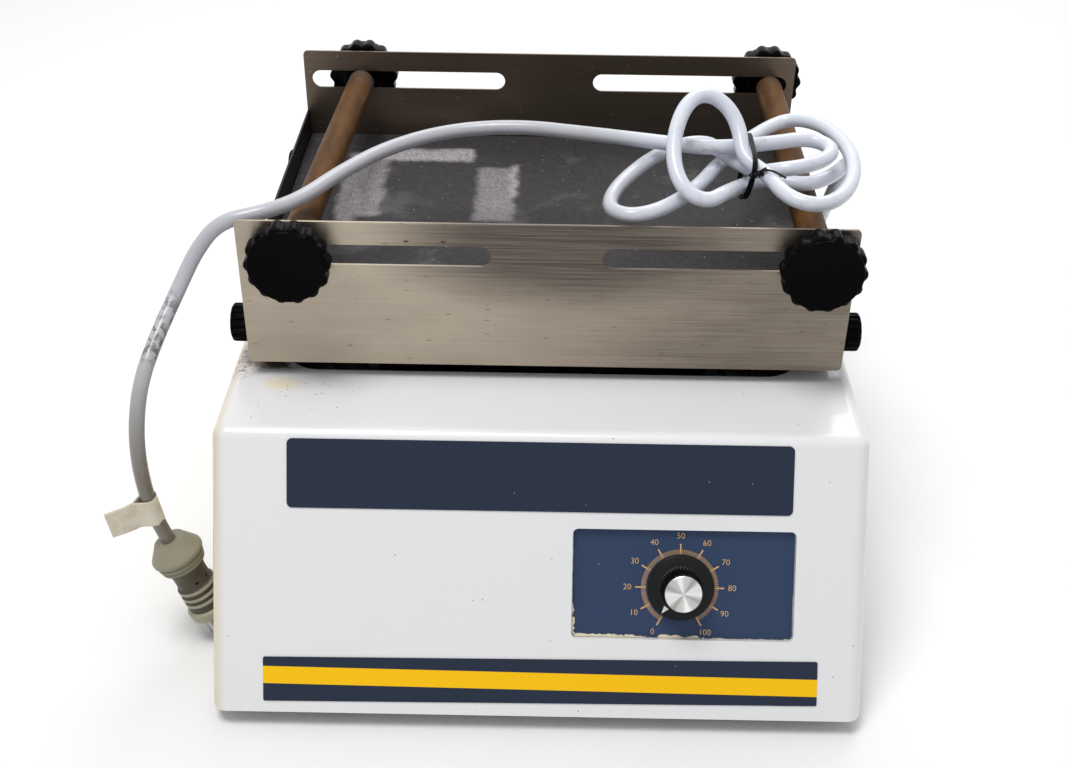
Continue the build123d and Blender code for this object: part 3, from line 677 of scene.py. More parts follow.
@dataclass(frozen=True)
class PlugMoulding(Finish):
    """Olive grey moulding, with a painted highlight on its ribs' crests and dark in its grooves."""

    grain_scale: float = 800.0
    lower: Colour = srgb(62, 56, 43)
    pale: Colour = srgb(176, 172, 150)
    groove: float = 10.8 * MM
    crest: float = 11.3 * MM

    def dress(self, paint: Paint) -> Looks:
        """Darkens the moulding's lower part and paints highlights on its ribs' crests, found by how far they
        stand from its own axis.
        """
        start = in_metres(PLUG_START)
        along = paint.along(start, PLUG_AXIS)
        far = paint.place.vector("SUBTRACT", start).vector("LENGTH")
        radius = paint.math("SQRT", paint.math("MAXIMUM", far * far - along * along, 0.0))
        paint.blend(paint.noise(60.0, 4.0), shade(self.colour, 0.9), self.colour)
        paint.stain(along.band(16.0 * MM, 20.0 * MM), self.lower, 0.85)
        ribbed = along.band(31.0 * MM, 32.0 * MM)
        # painted highlight: the crests of the ribs made pale
        paint.stain(ribbed * radius.band(self.groove, self.crest), self.pale, 0.8)
        return self.looks(paint)


@dataclass(frozen=True)
class PaperTag(Finish):
    """Blank laminated tag, browned in clouds."""

    grain: float = 0.0003
    brown: Colour = srgb(214, 200, 178)

    def dress(self, paint: Paint) -> Looks:
        """Browns and creases the tag a little."""
        paint.blend(paint.noise(130.0, 4.0).band(0.35, 0.7), self.colour, self.brown)
        return self.looks(paint, paint.noise(140.0, 3.0, at=paint.stretch(1.0, 1.0, 2.0)))


@dataclass(frozen=True)
class SpunDisc(Finish):
    """Aluminium turned in fine rings, with painted highlights in sectors."""

    grain: float = 0.00001
    middle: Point = (0.0, 0.0, 0.0)
    facing: Point = (0.0, -0.8814, 0.4724)
    ring: float = 0.28 * MM
    dull: Colour = srgb(150, 150, 148)
    bright: Colour = srgb(243, 243, 241)

    def dress(self, paint: Paint) -> Looks:
        """Turns the disc about its own axis and paints its highlights in sectors."""
        arm = paint.place.vector("SUBTRACT", self.middle)
        rise = arm.vector("DOT_PRODUCT", (0.0, self.facing[2], -self.facing[1]))
        around = paint.math("ARCTAN2", rise, arm.axis("X"))
        # painted highlights: the disc lighter in four broad sectors and ten finer ones round its axis
        sectors = paint.math("SINE", around * 4.0 + 0.6) * 0.32
        finer = paint.math("SINE", around * 10.0 + 1.9) * 0.13
        paint.blend(sectors + finer + 0.5, self.dull, self.bright)
        return self.looks(paint, paint.math("SINE", arm.vector("LENGTH") * (2 * math.pi / self.ring)))


@dataclass(frozen=True)
class CordSheath(Finish):
    """Glossy grey sheath, darker grey left of the hank, grimy in patches, dull and dark down at the plug."""

    grain: float = 0.00003
    grain_scale: float = 500.0
    rough_range: Range = (0.26, 0.5)
    grime: Colour = srgb(120, 112, 104)
    dull: Colour = srgb(118, 112, 100)
    dusty: Colour = srgb(186, 187, 194)
    smear: Colour = srgb(74, 64, 56)
    # the sheath is darker grey left of this x, fading to its own colour by the next
    worn: float = 20.0 * MM
    clean: float = 70.0 * MM
    left: float = -186.0 * MM
    hanging: float = 205.0 * MM
    low: float = 105.0 * MM
    smeared: Oval = ((-207, -92, 190), (18, 30, 34))

    def dress(self, paint: Paint) -> Looks:
        """Greys the sheath left of the hank, soils it in patches, and more the lower it hangs on the left."""
        across = paint.place.axis("X")
        # darker grey left of the hank, the sheath's own colour over the hank
        paint.blend(across.band(self.worn, self.clean), self.dusty, self.colour)
        paint.stain(paint.noise(40.0, 3.0), self.grime, 0.16)
        soil = paint.smudges(70.0, 0.58, 0.16)
        paint.stain(soil, self.grime, 0.35)
        lower = paint.place.axis("Z").band(self.hanging, self.low)
        paint.stain(across.band(self.left, self.left - 12 * MM) * lower, self.dull)
        paint.stain(paint.spot(self.smeared) * paint.smudges(230.0, 0.48, 0.1), self.smear, 0.8)
        return self.looks(paint, rough=soil)


NAVY = srgb(32, 41, 58)
SCUFFS = ((-136, 40, -124, 140, 1), (-126, 48, -110, 142, 0.6), (-118, 130, -54, 148, 0.95),
          (-50, 44, -26, 120, 0.55), (-28, 78, -24, 124, 0.9))
FINISHES: dict[str, Finish] = {finish.name: finish for finish in (
    HousingEnamel("housing_white", srgb(232, 232, 233), coat=0.3),
    Finish("zinc_sheet", srgb(150, 152, 150), 0.42, metallic=1.0),
    Finish("foot_rubber", srgb(34, 34, 34), 0.75, specular=0.2),
    Finish("bright_steel", srgb(178, 178, 176), 0.28, metallic=1.0, tone=0.12),
    Finish("cast_aluminium", srgb(160, 162, 164), 0.45, metallic=1.0, grain=0.0001),
    Finish("cast_weight", srgb(62, 62, 64), 0.6, metallic=0.6, grain=0.0002, grain_scale=500.0),
    Finish("motor_shell", srgb(46, 50, 56), 0.4, specular=0.3),
    Finish("belt_rubber", srgb(28, 28, 28), 0.8, specular=0.2),
    Finish("board_green", srgb(36, 92, 56), 0.35, coat=0.3),
    Finish("component_black", srgb(36, 36, 40), 0.45, specular=0.3),
    LabelFilm("label_navy", NAVY, 0.35, specular=0.18),
    LabelFilm("label_striped", NAVY, 0.35, specular=0.18, skew=math.radians(0.45),
              stripe_down=134.7 * MM, stripe_width=9.5 * MM),
    LabelFilm("dial_navy", srgb(44, 60, 88), 0.35, specular=0.18, middle=(76.3 * MM, 80.6 * MM),
              half=(59.5 * MM, 29.7 * MM), chips=1.6 * MM),
    Finish("dial_print", srgb(222, 178, 120), 0.5, tone=0.12, grain=0.0, specular=0.2),
    Finish("pointer_print", srgb(238, 238, 236), 0.45, tone=0.08, grain=0.0),
    Finish("knob_black", srgb(6, 6, 6), 0.2, tone=0.3, grain=0.00002, specular=0.03),
    Finish("speed_black", srgb(8, 8, 9), 0.34, tone=0.3, grain=0.00002, specular=0.2),
    SpunDisc("cap_aluminium", srgb(225, 225, 222), 0.3, metallic=1.0,
             middle=(75.0 * MM, -173.0 * MM, 80.4 * MM)),
    Finish("carrier_black", srgb(18, 18, 20), 0.42, tone=0.4, grain=0.00006, specular=0.2),
    DustyRubber("mat_rubber", srgb(60, 58, 59), 0.7, grain=0.0002, grain_scale=700.0, specular=0.12,
                scuffs=SCUFFS),
    BrushedSteel("plate_steel", srgb(182, 169, 151), 0.36, metallic=0.9),
    Finish("rod_steel", srgb(170, 168, 164), 0.3, metallic=1.0),
    BarSleeve("sleeve_rubber", srgb(92, 62, 30), 0.42, specular=0.05),
    CordSheath("cord_grey", srgb(215, 219, 230), 0.3, coat=0.1),
    PlugMoulding("plug_olive", srgb(146, 142, 122), 0.5, specular=0.3),
    Finish("tie_black", srgb(10, 10, 12), 0.4, specular=0.2),
    PaperTag("tag_white", srgb(226, 219, 203), 0.5, specular=0.3),
)}


def stand(name: str, data: ID) -> Object:
    """Puts a new object in the scene.

    Args:
        name: Its name.
        data: Its mesh, curve, lens or light.

    Returns:
        The object.
    """
    made = bpy.data.objects.new(name, data)
    bpy.context.scene.collection.objects.link(made)
    return made


def keep(work: bmesh.types.BMesh, name: str) -> Mesh:
    """Ends the work on a mesh and keeps it under a name.

    Args:
        work: The mesh being worked on.
        name: The name.

    Returns:
        The mesh.
    """
    mesh = bpy.data.meshes.new(name)
    work.to_mesh(mesh)
    work.free()
    return mesh


def finish_mesh(name: str, mesh: Mesh, slot: str, body: str, smooth: bool = True,
                finish: str = "") -> Object:
    """Turns a mesh into a piece of the part.

    Args:
        name: The piece's name.
        mesh: Its mesh, in place, in metres.
        slot: Its material slot.
        body: The body that it rides on.
        smooth: Whether its faces are shaded smooth.
        finish: Its finish, where that isn't its slot's own.

    Returns:
        The piece's object.
    """
    mesh.name = name
    piece = stand(name, mesh)
    for face in mesh.polygons:
        face.use_smooth = smooth
    mesh.materials.clear()
    mesh.materials.append(FINISHES[finish or slot].material())
    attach(piece, body)
    log.info("%s: %d faces on %s", name, len(mesh.polygons), body)
    return piece


def lathe(profile: Profile, sides: int, place: Matrix,
          valley: Callable[[float], float] = lambda angle: 0.0) -> Mesh:
    """Turns a profile about Z and puts it in place.

    Args:
        profile: Each ring's radius and height, and its share of the valleys; radius 0 closes an end.
        sides: How many steps round.
        place: Where the turned shape's frame stands.
        valley: What part of its radius a ring is drawn in at an angle.

    Returns:
        The mesh, in place.
    """
    work = bmesh.new()
    rings = []
    for radius, height, share in profile:
        ring = []
        for step in range(sides if radius else 1):
            angle = 2 * math.pi * step / sides
            wide = radius * (1 - share * valley(angle))
            ring.append(work.verts.new((wide * math.cos(angle), wide * math.sin(angle), height)))
        rings.append(ring)
    for lower, upper in zip(rings, rings[1:]):
        for step in range(sides):
            after = (step + 1) % sides
            corners = [ring[turn % len(ring)] for ring, turn in
                       ((lower, step), (lower, after), (upper, after), (upper, step))]
            work.faces.new(list(dict.fromkeys(corners)))
    work.transform(place)
    bmesh.ops.recalc_face_normals(work, faces=work.faces)
    return keep(work, "lathe")


def ease_edges(node: str, width: float) -> None:
    """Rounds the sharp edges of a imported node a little, so that they catch the light.

    Args:
        node: The node's name.
        width: How wide the rounding is, in millimetres.
    """
    piece = frame["nodes"][node]
    piece.modifiers.new("weld", "WELD").merge_threshold = WELD_DISTANCE
    bevel = piece.modifiers.new("eased", "BEVEL")
    bevel.width = width * MM
    bevel.segments = EASED_STEPS
    bevel.limit_method = "ANGLE"
    bevel.angle_limit = SHARP_FROM
    bevel.harden_normals = True


def wire(name: str, points: Sequence[Point], radius: float, finish: str, closed: bool = False, steps: int = 6,
         round_steps: int = 3) -> Object:
    """A round wire or cord on the base, as one smooth curve.

    Args:
        name: The piece's name.
        points: Where it runs, in millimetres.
        radius: Its radius in millimetres.
        finish: Its material slot.
        closed: Whether it is a ring.
        steps: How finely it is drawn along its length.
        round_steps: How finely it is drawn round.

    Returns:
        The piece.
    """
    curve = bpy.data.curves.new(name, "CURVE")
    curve.dimensions = "3D"
    curve.resolution_u = steps
    curve.bevel_depth = radius * MM
    curve.bevel_resolution = round_steps
    curve.use_fill_caps = not closed
    spline = curve.splines.new("NURBS")
    spline.points.add(len(points) - 1)
    for point, place in zip(spline.points, points):
        point.co = (*in_metres(place), 1.0)
    spline.order_u = 3
    spline.use_cyclic_u = closed
    spline.use_endpoint_u = not closed
    spline.resolution_u = steps
    curve.materials.append(FINISHES[finish].material())
    piece = stand(name, curve)
    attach(piece, Body.BASE.value)
    log.info("%s: %d points on %s", name, len(points), Body.BASE.value)
    return piece


@dataclass
class CornerGrip:
    """A black grip at one corner of the carrier; each kind has its own profile, sides and valleys."""

    hand: Hand
    end: End

    def valley(self, angle: float) -> float:
        """What part of its radius the grip is drawn in at an angle."""
        raise NotImplementedError

    def turn(self, place: Matrix, added: str, body: str, packed: str) -> None:
        """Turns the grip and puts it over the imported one.

        Args:
            place: Where its frame stands.
            added: The new piece's name, after the corner's.
            body: Its body's name, after the corner's.
            packed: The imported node's name, after the corner's.
        """
        corner = f"{self.end.name.lower()}_{self.hand.name.lower()}"
        mesh = lathe(self.profile, self.sides, place @ Matrix.Scale(MM, 4), self.valley)
        grip = finish_mesh(f"{corner}_{added}", mesh, "knob_black", f"{corner}_{body}")
        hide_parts(f"{corner}_{packed}")


@dataclass
class ClampKnob(CornerGrip):
    """Fourteen-lobed knob on the end of a clamp bar, with a flat round face."""

    x: float
    bar_z: float = 223.6
    seat: float = 124.0
    lobes: int = 14
    depth: float = 0.08
    sharpness: float = 1.2
    sides: int = 224
    profile: Profile = (
        (0, 8.4, 0), (4.05, 8.4, 0), (4.05, 0, 0), (12.4, 0, 0), (13, 0.5, 0), (13, 2.0, 0), (14.2, 2.6, 0),
        (20.5, 2.6, 0.5), (22.3, 3.0, 1), (22.9, 3.9, 1), (23.0, 5.5, 1), (23.0, 12.4, 1), (22.7, 13.5, 1),
        (22.0, 14.2, 0.9), (21.3, 14.5, 0.5), (20.9, 14.6, 0.1), (20.7, 14.9, 0), (20.6, 15.3, 0),
        (20.4, 15.5, 0), (20.0, 15.5, 0), (19.6, 15.35, 0), (0, 15.3, 0))

    def valley(self, angle: float) -> float:
        """How far the grip is drawn in between two lobes."""
        return self.depth * (0.5 - 0.5 * math.cos(self.lobes * angle)) ** self.sharpness

    def build(self) -> None:
        """Turns the knob on its stud."""
        side = self.end.value
        at = in_metres((self.x, CARRIER_MIDDLE_Y + side * self.seat, self.bar_z))
        self.turn(facing(at, (0, side, 0), (1, 0, 0)), "lobed_knob", "grip", "knob")


@dataclass
class ThumbScrew(CornerGrip):
    """Broad-ribbed screw through the tray's side wall."""

    out: float = 166.8
    along: float = 103.0
    height: float = 168.0
    ribs: int = 16
    depth: float = 0.11
    sides: int = 192
    profile: Profile = (
        (0, -14, 0), (3, -14, 0), (3, 0, 0), (9.4, 0, 0), (10.3, 0.3, 0.5), (10.9, 1.0, 1), (11, 1.8, 1),
        (11, 8.0, 1), (10.8, 8.8, 1), (10.2, 9.4, 0.6), (9.4, 9.8, 0), (8.8, 9.9, 0), (8.3, 9.6, 0),
        (0, 9.6, 0))

    def valley(self, angle: float) -> float:
        """How far the grip is drawn in between two ribs."""
        return self.depth * min(1.0, max(0.0, 0.5 - 1.3 * math.cos(self.ribs * angle)))

    def build(self) -> None:
        """Turns the screw in its hole."""
        side = self.hand.value
        at = in_metres((side * self.out, CARRIER_MIDDLE_Y + self.end.value * self.along, self.height))
        self.turn(facing(at, (side, 0, 0), (0, 1, 0)), "ribbed_screw", "screw", "thumb_screw")


@dataclass
class DialScale:
    """Gold scale on the dial plate: a tick for each unit from 0 to 100, and a number for each ten."""

    middle: tuple[float, float] = (74.6, 82.6)
    surface: float = -3.2
    ink: float = 0.08
    first_angle: float = 240.0
    sweep: float = 300.0
    inner: float = 18.3
    minor_reach: float = 20.9
    major_reach: float = 24.0
    minor_width: float = 0.36
    major_width: float = 0.75
    number_radius: float = 28.3
    number_size: float = 4.6
    thinned: float = -0.05
    units: int = 101

    def sizes(self) -> dict[str, Any]:
        """What the ticks' tree is given: sizes in millimetres, angles in degrees.

        Returns:
            Each of its inputs by name.
        """
        names = ("units", "first_angle", "sweep", "inner", "minor_reach", "major_reach", "minor_width",
                 "major_width", "ink")
        sizes = {name: getattr(self, name) for name in names}
        return {**sizes, "material": FINISHES["dial_print"].material()}

    def ticks_tree(self) -> GeometryNodeTree:
        """Builds the tree that stands one bar for each unit round the dial.

        Returns:
            The tree.
        """
        tree = bpy.data.node_groups.new("dial_ticks", "GeometryNodeTree")
        tree.interface.new_socket("Geometry", in_out="OUTPUT", socket_type="NodeSocketGeometry")
        kinds = {"units": "NodeSocketInt", "material": "NodeSocketMaterial"}
        for name in self.sizes():
            kind = kinds.get(name, "NodeSocketFloat")
            tree.interface.new_socket(name, in_out="INPUT", socket_type=kind)
        graph = Graph(tree)
        given = {socket.name: Signal(graph, socket) for socket in graph.add("NodeGroupInput").outputs}
        index = graph.get("GeometryNodeInputIndex", 0)
        share = graph.math("DIVIDE", index, given["units"] - 1.0)
        angle = graph.math("RADIANS", given["first_angle"] - given["sweep"] * share)
        ten = graph.math("MODULO", index, 10.0).less(0.5)
        reach, width = (given[f"minor_{size}"] + ten * (given[f"major_{size}"] - given[f"minor_{size}"])
                        for size in ("reach", "width"))
        middle = (given["inner"] + reach) * 0.5
        where = graph.get("ShaderNodeCombineXYZ", 0, {"X": graph.math("COSINE", angle) * middle,
                                                      "Y": graph.math("SINE", angle) * middle})
        long = reach - given["inner"]
        size = graph.get("ShaderNodeCombineXYZ", 0, {"X": long, "Y": width, "Z": given["ink"]})
        turn = graph.get("ShaderNodeCombineXYZ", 0, {"Z": angle})
        line = graph.get("GeometryNodeMeshLine", "Mesh", {"Count": given["units"]})
        points = graph.get("GeometryNodeSetPosition", "Geometry", {"Geometry": line, "Position": where})
        bar = graph.get("GeometryNodeMeshCube", "Mesh", {"Size": (1.0, 1.0, 1.0)})
        inputs = {"Points": points, "Instance": bar, "Rotation": turn, "Scale": size}
        ticks = graph.get("GeometryNodeInstanceOnPoints", "Instances", inputs)
        real = graph.get("GeometryNodeRealizeInstances", "Geometry", {"Geometry": ticks})
        inputs = {"Geometry": real, "Material": given["material"]}
        graph.add("NodeGroupOutput", {"Geometry": graph.get("GeometryNodeSetMaterial", "Geometry", inputs)})
        return tree

    def ticks(self) -> Mesh:
        """Runs the tree and keeps what it makes as a plain mesh.

        Returns:
            The mesh.
        """
        holder = stand("dial_ticks", bpy.data.meshes.new("dial_ticks"))
        grown = holder.modifiers.new("ticks", "NODES")
        grown.node_group = self.ticks_tree()
        values = self.sizes()
        for item in grown.node_group.interface.items_tree:
            if item.in_out == "INPUT":
                grown[item.identifier] = values[item.name]
        seen = holder.evaluated_get(bpy.context.evaluated_depsgraph_get())
        mesh = bpy.data.meshes.new_from_object(seen)
        holder.modifiers.remove(grown)
        bpy.data.objects.remove(holder)
        return mesh

    def numbers(self) -> Mesh:
        """Sets the numbers 0 to 100 round the scale, upright.

        Returns:
            All of them as one mesh.
        """
        words = []
        for value in range(0, self.units, 10):
            angle = math.radians(self.first_angle - self.sweep * value / 100)
            text = bpy.data.curves.new(f"number_{value}", "FONT")
            text.body = str(value)
            text.size = self.number_size
            text.align_x, text.align_y = "CENTER", "CENTER"
            text.extrude = self.ink / 2
            text.resolution_u = 3
            text.offset = self.thinned
            words.append(stand(text.name, text))
            words[-1].location = Vector((math.cos(angle), math.sin(angle), 0.0)) * self.number_radius
        graph = bpy.context.evaluated_depsgraph_get()
        work = bmesh.new()
        for word in words:
            mesh = bpy.data.meshes.new_from_object(word.evaluated_get(graph))
            mesh.transform(Matrix.Translation(word.location))
            work.from_mesh(mesh)
            bpy.data.objects.remove(word)
        return keep(work, "dial_numbers")

    def build(self) -> None:
        """Prints the scale on the plate."""
        place = PANEL.frame(*self.middle) @ Matrix.Translation((0, 0, self.surface + self.ink / 2))
        for name, mesh in (("dial_ticks", self.ticks()), ("dial_numbers", self.numbers())):
            mesh.transform(place)
            finish_mesh(name, mesh, "dial_navy", Body.BASE.value, smooth=False, finish="dial_print")


@dataclass
class SpeedKnob:
    """Skirted knob with a fluted grip, a white pointer on its skirt and an aluminium cap."""

    middle: tuple[float, float] = (75.0, 82.0)
    pointer_angle: float = 234.0
    pointer_base: float = 13.0
    pointer_tip: float = 17.3
    pointer_half: float = 1.5
    pointer_rise: float = 0.05
    pointer_thick: float = 0.12
    flutes: int = 40
    flute_steps: int = 8
    depth: float = 0.12
    sharpness: float = 0.7
    skirt_top: tuple[float, float] = (17.5, 0.5)
    skirt_inner: tuple[float, float] = (12.6, 1.1)
    profile: Profile = (
        (0, 7.2, 0), (3.25, 7.2, 0), (3.25, -1.5, 0), (17.8, -1.5, 0), (18.0, -1.2, 0), (18.0, -0.2, 0),
        (17.85, 0.25, 0), (17.5, 0.5, 0), (12.6, 1.1, 0), (12.0, 1.3, 0), (11.5, 1.9, 0.4), (11.3, 2.6, 1),
        (10.9, 12.4, 1), (10.7, 13.0, 0.7), (10.4, 13.4, 0), (10.0, 13.5, 0), (0, 13.5, 0))
    cap: Profile = ((0, 13.5, 0), (9.7, 13.5, 0), (9.85, 13.7, 0), (9.85, 14.1, 0), (9.6, 14.35, 0),
                    (9.2, 14.4, 0), (8.9, 14.3, 0), (0, 14.3, 0))
    cap_sides: int = 128

    def valley(self, angle: float) -> float:
        """How far the grip is drawn in at a flute."""
        return self.depth * (0.5 - 0.5 * math.cos(self.flutes * angle)) ** self.sharpness

    def skirt_height(self, radius: float) -> float:
        """How high the skirt's slope is at a radius."""
        (r0, z0), (r1, z1) = self.skirt_inner, self.skirt_top
        return z0 + (z1 - z0) * (radius - r0) / (r1 - r0)

    def pointer(self) -> Mesh:
        """The white wedge on the skirt, its tip outwards.

        Returns:
            Its mesh, in millimetres.
        """
        base, half = self.pointer_base, self.pointer_half
        work = bmesh.new()
        top, low = ([work.verts.new((x, y, self.skirt_height(x) + self.pointer_rise - drop))
                     for x, y in ((base, -half), (self.pointer_tip, 0.0), (base, half))]
                    for drop in (0.0, self.pointer_thick))
        work.faces.new(top)
        work.faces.new(low[::-1])
        for here, there in ((0, 1), (1, 2), (2, 0)):
            work.faces.new((low[here], low[there], top[there], top[here]))
        bmesh.ops.recalc_face_normals(work, faces=work.faces)
        return keep(work, "pointer")

    def build(self) -> None:
        """Turns knob and cap and prints the pointer."""
        place = PANEL.frame(*self.middle)
        body = Body.SPEED_DIAL.value
        grip = lathe(self.profile, self.flutes * self.flute_steps, place, self.valley)
        knob = finish_mesh("fluted_knob", grip, "knob_black", body, finish="speed_black")
        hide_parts("speed_knob")
        disc = finish_mesh("spun_cap", lathe(self.cap, self.cap_sides, place), "cap_aluminium", body)
        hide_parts("speed_knob_cap")
        wedge = self.pointer()
        wedge.transform(place @ Matrix.Rotation(math.radians(self.pointer_angle), 4, "Z"))
        finish_mesh("pointer", wedge, "knob_black", body, smooth=False, finish="pointer_print")


@dataclass
class TwistTie:
    """Black twist tie: two turns round the hank's waist, a knot in front and two short ends."""

    x: float = 111.3
    corners: tuple[tuple[float, float], ...] = (
        (6.6, 265.8), (-12.0, 266.2), (-30.0, 265.4), (-32.6, 258.0), (-27.4, 241.0), (-14.3, 232.9),
        (2.9, 232.9), (5.0, 245.0))
    knot: Point = (112.2, -33.4, 257.8)
    thick: float = 0.8
    knot_thick: float = 0.75
    long_thick: float = 0.6
    short_thick: float = 0.95
    slant: float = 0.11
    spread: tuple[float, float] = (-0.8, 0.7)
    waver: float = 0.4
    coil_steps: int = 22
    coil_turn: float = 1.1
    coil_radius: float = 1.3

    def coil(self) -> list[Point]:
        """The knot's small coil, in millimetres.

        Returns:
            The points that it runs through.
        """
        x, y, z = self.knot
        points = []
        for step in range(self.coil_steps):
            angle = step * self.coil_turn
            across, up = self.coil_radius * math.cos(angle), self.coil_radius * math.sin(angle)
            points.append((x - 3.4 + step * 0.33, y + across, z - 2.0 + up + step * 0.11))
        return points

    def build(self) -> list[Object]:
        """Winds the tie and twists its ends.

        Returns:
            The tie's pieces.
        """
        x, y, z = self.knot
        first, second = [], []
        for number, (across, up) in enumerate(self.corners):
            leaning = self.x + min(0.0, up - z) * self.slant
            first.append((leaning + self.spread[0] + self.waver * math.sin(number), across, up))
            second.append((leaning + self.spread[1], across, up))
        ring = wire("twist_tie", first, self.thick, "tie_black", closed=True)
        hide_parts("cord_tie")
        long_end = [(x, y, z), (x + 2.6, y - 1.0, z + 2.6), (x + 9.0, y - 3.0, z + 3.2),
                    (x + 15.0, y - 6.4, z + 0.4)]
        short_end = [(x, y, z - 0.6), (x + 2.4, y - 0.6, z + 1.6), (x + 5.0, y - 0.8, z + 3.4)]
        return [ring, wire("twist_tie_turn", second, self.thick, "tie_black", closed=True),
                wire("twist_tie_knot", self.coil(), self.knot_thick, "tie_black"),
                wire("twist_tie_end_long", long_end, self.long_thick, "tie_black"),
                wire("twist_tie_end_short", short_end, self.short_thick, "tie_black")]


@dataclass
class FoldedTag:
    """Blank laminated tag folded round the cord, its two leaves together on the left."""

    middle: Point = (-216.4 * MM, -121.6 * MM, 91.0 * MM)
    along: Point = (0.106, 0.120, -0.987)
    faces: Point = (0.30, -0.68, 0.65)
    reach: float = 24.8
    high: float = 18.6
    fold_radius: float = 4.95
    pinch: float = 8.6
    thick: float = 0.28
    gap: float = 0.16
    ripple: float = 0.45
    curl: float = 0.8
    taper: float = 0.06
    rows: int = 13
    leaf_steps: int = 10
    fold_steps: int = 24

    def section(self) -> list[tuple[float, float]]:
        """The strip seen from its end: out along one leaf, round the cord and back along the other.

        Returns:
            Its points, in millimetres.
        """
        meet = math.acos(self.fold_radius / self.pinch)
        span = self.reach - self.pinch
        leaf = [self.reach - span * step / self.leaf_steps for step in range(self.leaf_steps + 1)]
        front = [(x, self.gap + 0.02 * (x - self.pinch)) for x in leaf]
        back = [(x, -self.gap - 0.01 * (x - self.pinch)) for x in reversed(leaf)]
        swing = 2 * (math.pi - meet) / self.fold_steps
        turns = [meet + swing * step for step in range(self.fold_steps + 1)]
        fold = [(self.fold_radius * math.cos(turn), self.fold_radius * math.sin(turn)) for turn in turns]
        return front + fold + back

    def build(self) -> Object:
        """Folds the tag and gives it its thickness.

        Returns:
            The tag.
        """
        side = Vector(self.along).cross(Vector(self.faces)).normalized()
        place = facing(self.middle, self.along, side) @ Matrix.Scale(MM, 4)
        work = bmesh.new()
        grid = []
        for row in range(self.rows):
            level = (row / (self.rows - 1) - 0.5) * self.high
            line = []
            for x, y in self.section():
                out = max(0.0, x - self.pinch) / (self.reach - self.pinch)
                wave = self.ripple * out * math.sin(level * 0.28 + x * 0.2) + self.curl * out ** 2
                line.append(work.verts.new((x, y + wave, level * (1 - self.taper * out))))
            grid.append(line)
        for lower, upper in zip(grid, grid[1:]):
            for here in range(len(lower) - 1):
                work.faces.new((lower[here], lower[here + 1], upper[here + 1], upper[here]))
        work.transform(place)
        bmesh.ops.recalc_face_normals(work, faces=work.faces)
        tag = finish_mesh("folded_tag", keep(work, "folded_tag"), "tag_white", Body.BASE.value)
        wall = tag.modifiers.new("thickness", "SOLIDIFY")
        wall.thickness = self.thick * MM
        wall.offset = 0.0
        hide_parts("cord_tag")
        return tag


class Carrier:
    """The orbiting carrier: end plates, tray, mat and everything that clamps on it."""

    knobs_x = {End.FRONT: {Hand.LEFT: -136.5, Hand.RIGHT: 145.5},
               End.REAR: {Hand.LEFT: -126.0, Hand.RIGHT: 147.7}}
    eased = {"front_plate": 0.22, "rear_plate": 0.22, "carrier_tray": 0.3, "mat": 0.3}

    def build(self) -> None:
        """Eases the plates' edges and turns the knobs and screws."""
        for node, width in self.eased.items():
            ease_edges(node, width)
        for hand in Hand:
            for end in End:
                ClampKnob(hand, end, self.knobs_x[end][hand]).build()
            for end in End:
                ThumbScrew(hand, end).build()


class ControlPanel:
    """The sloped panel: labels, dial plate, its printed scale, and the speed knob."""

    def build(self) -> None:
        """Eases the plates' edges, prints the scale and turns the knob."""
        for node in ("upper_label", "lower_label", "dial_plate"):
            ease_edges(node, 0.15)
        DialScale().build()
        SpeedKnob().build()


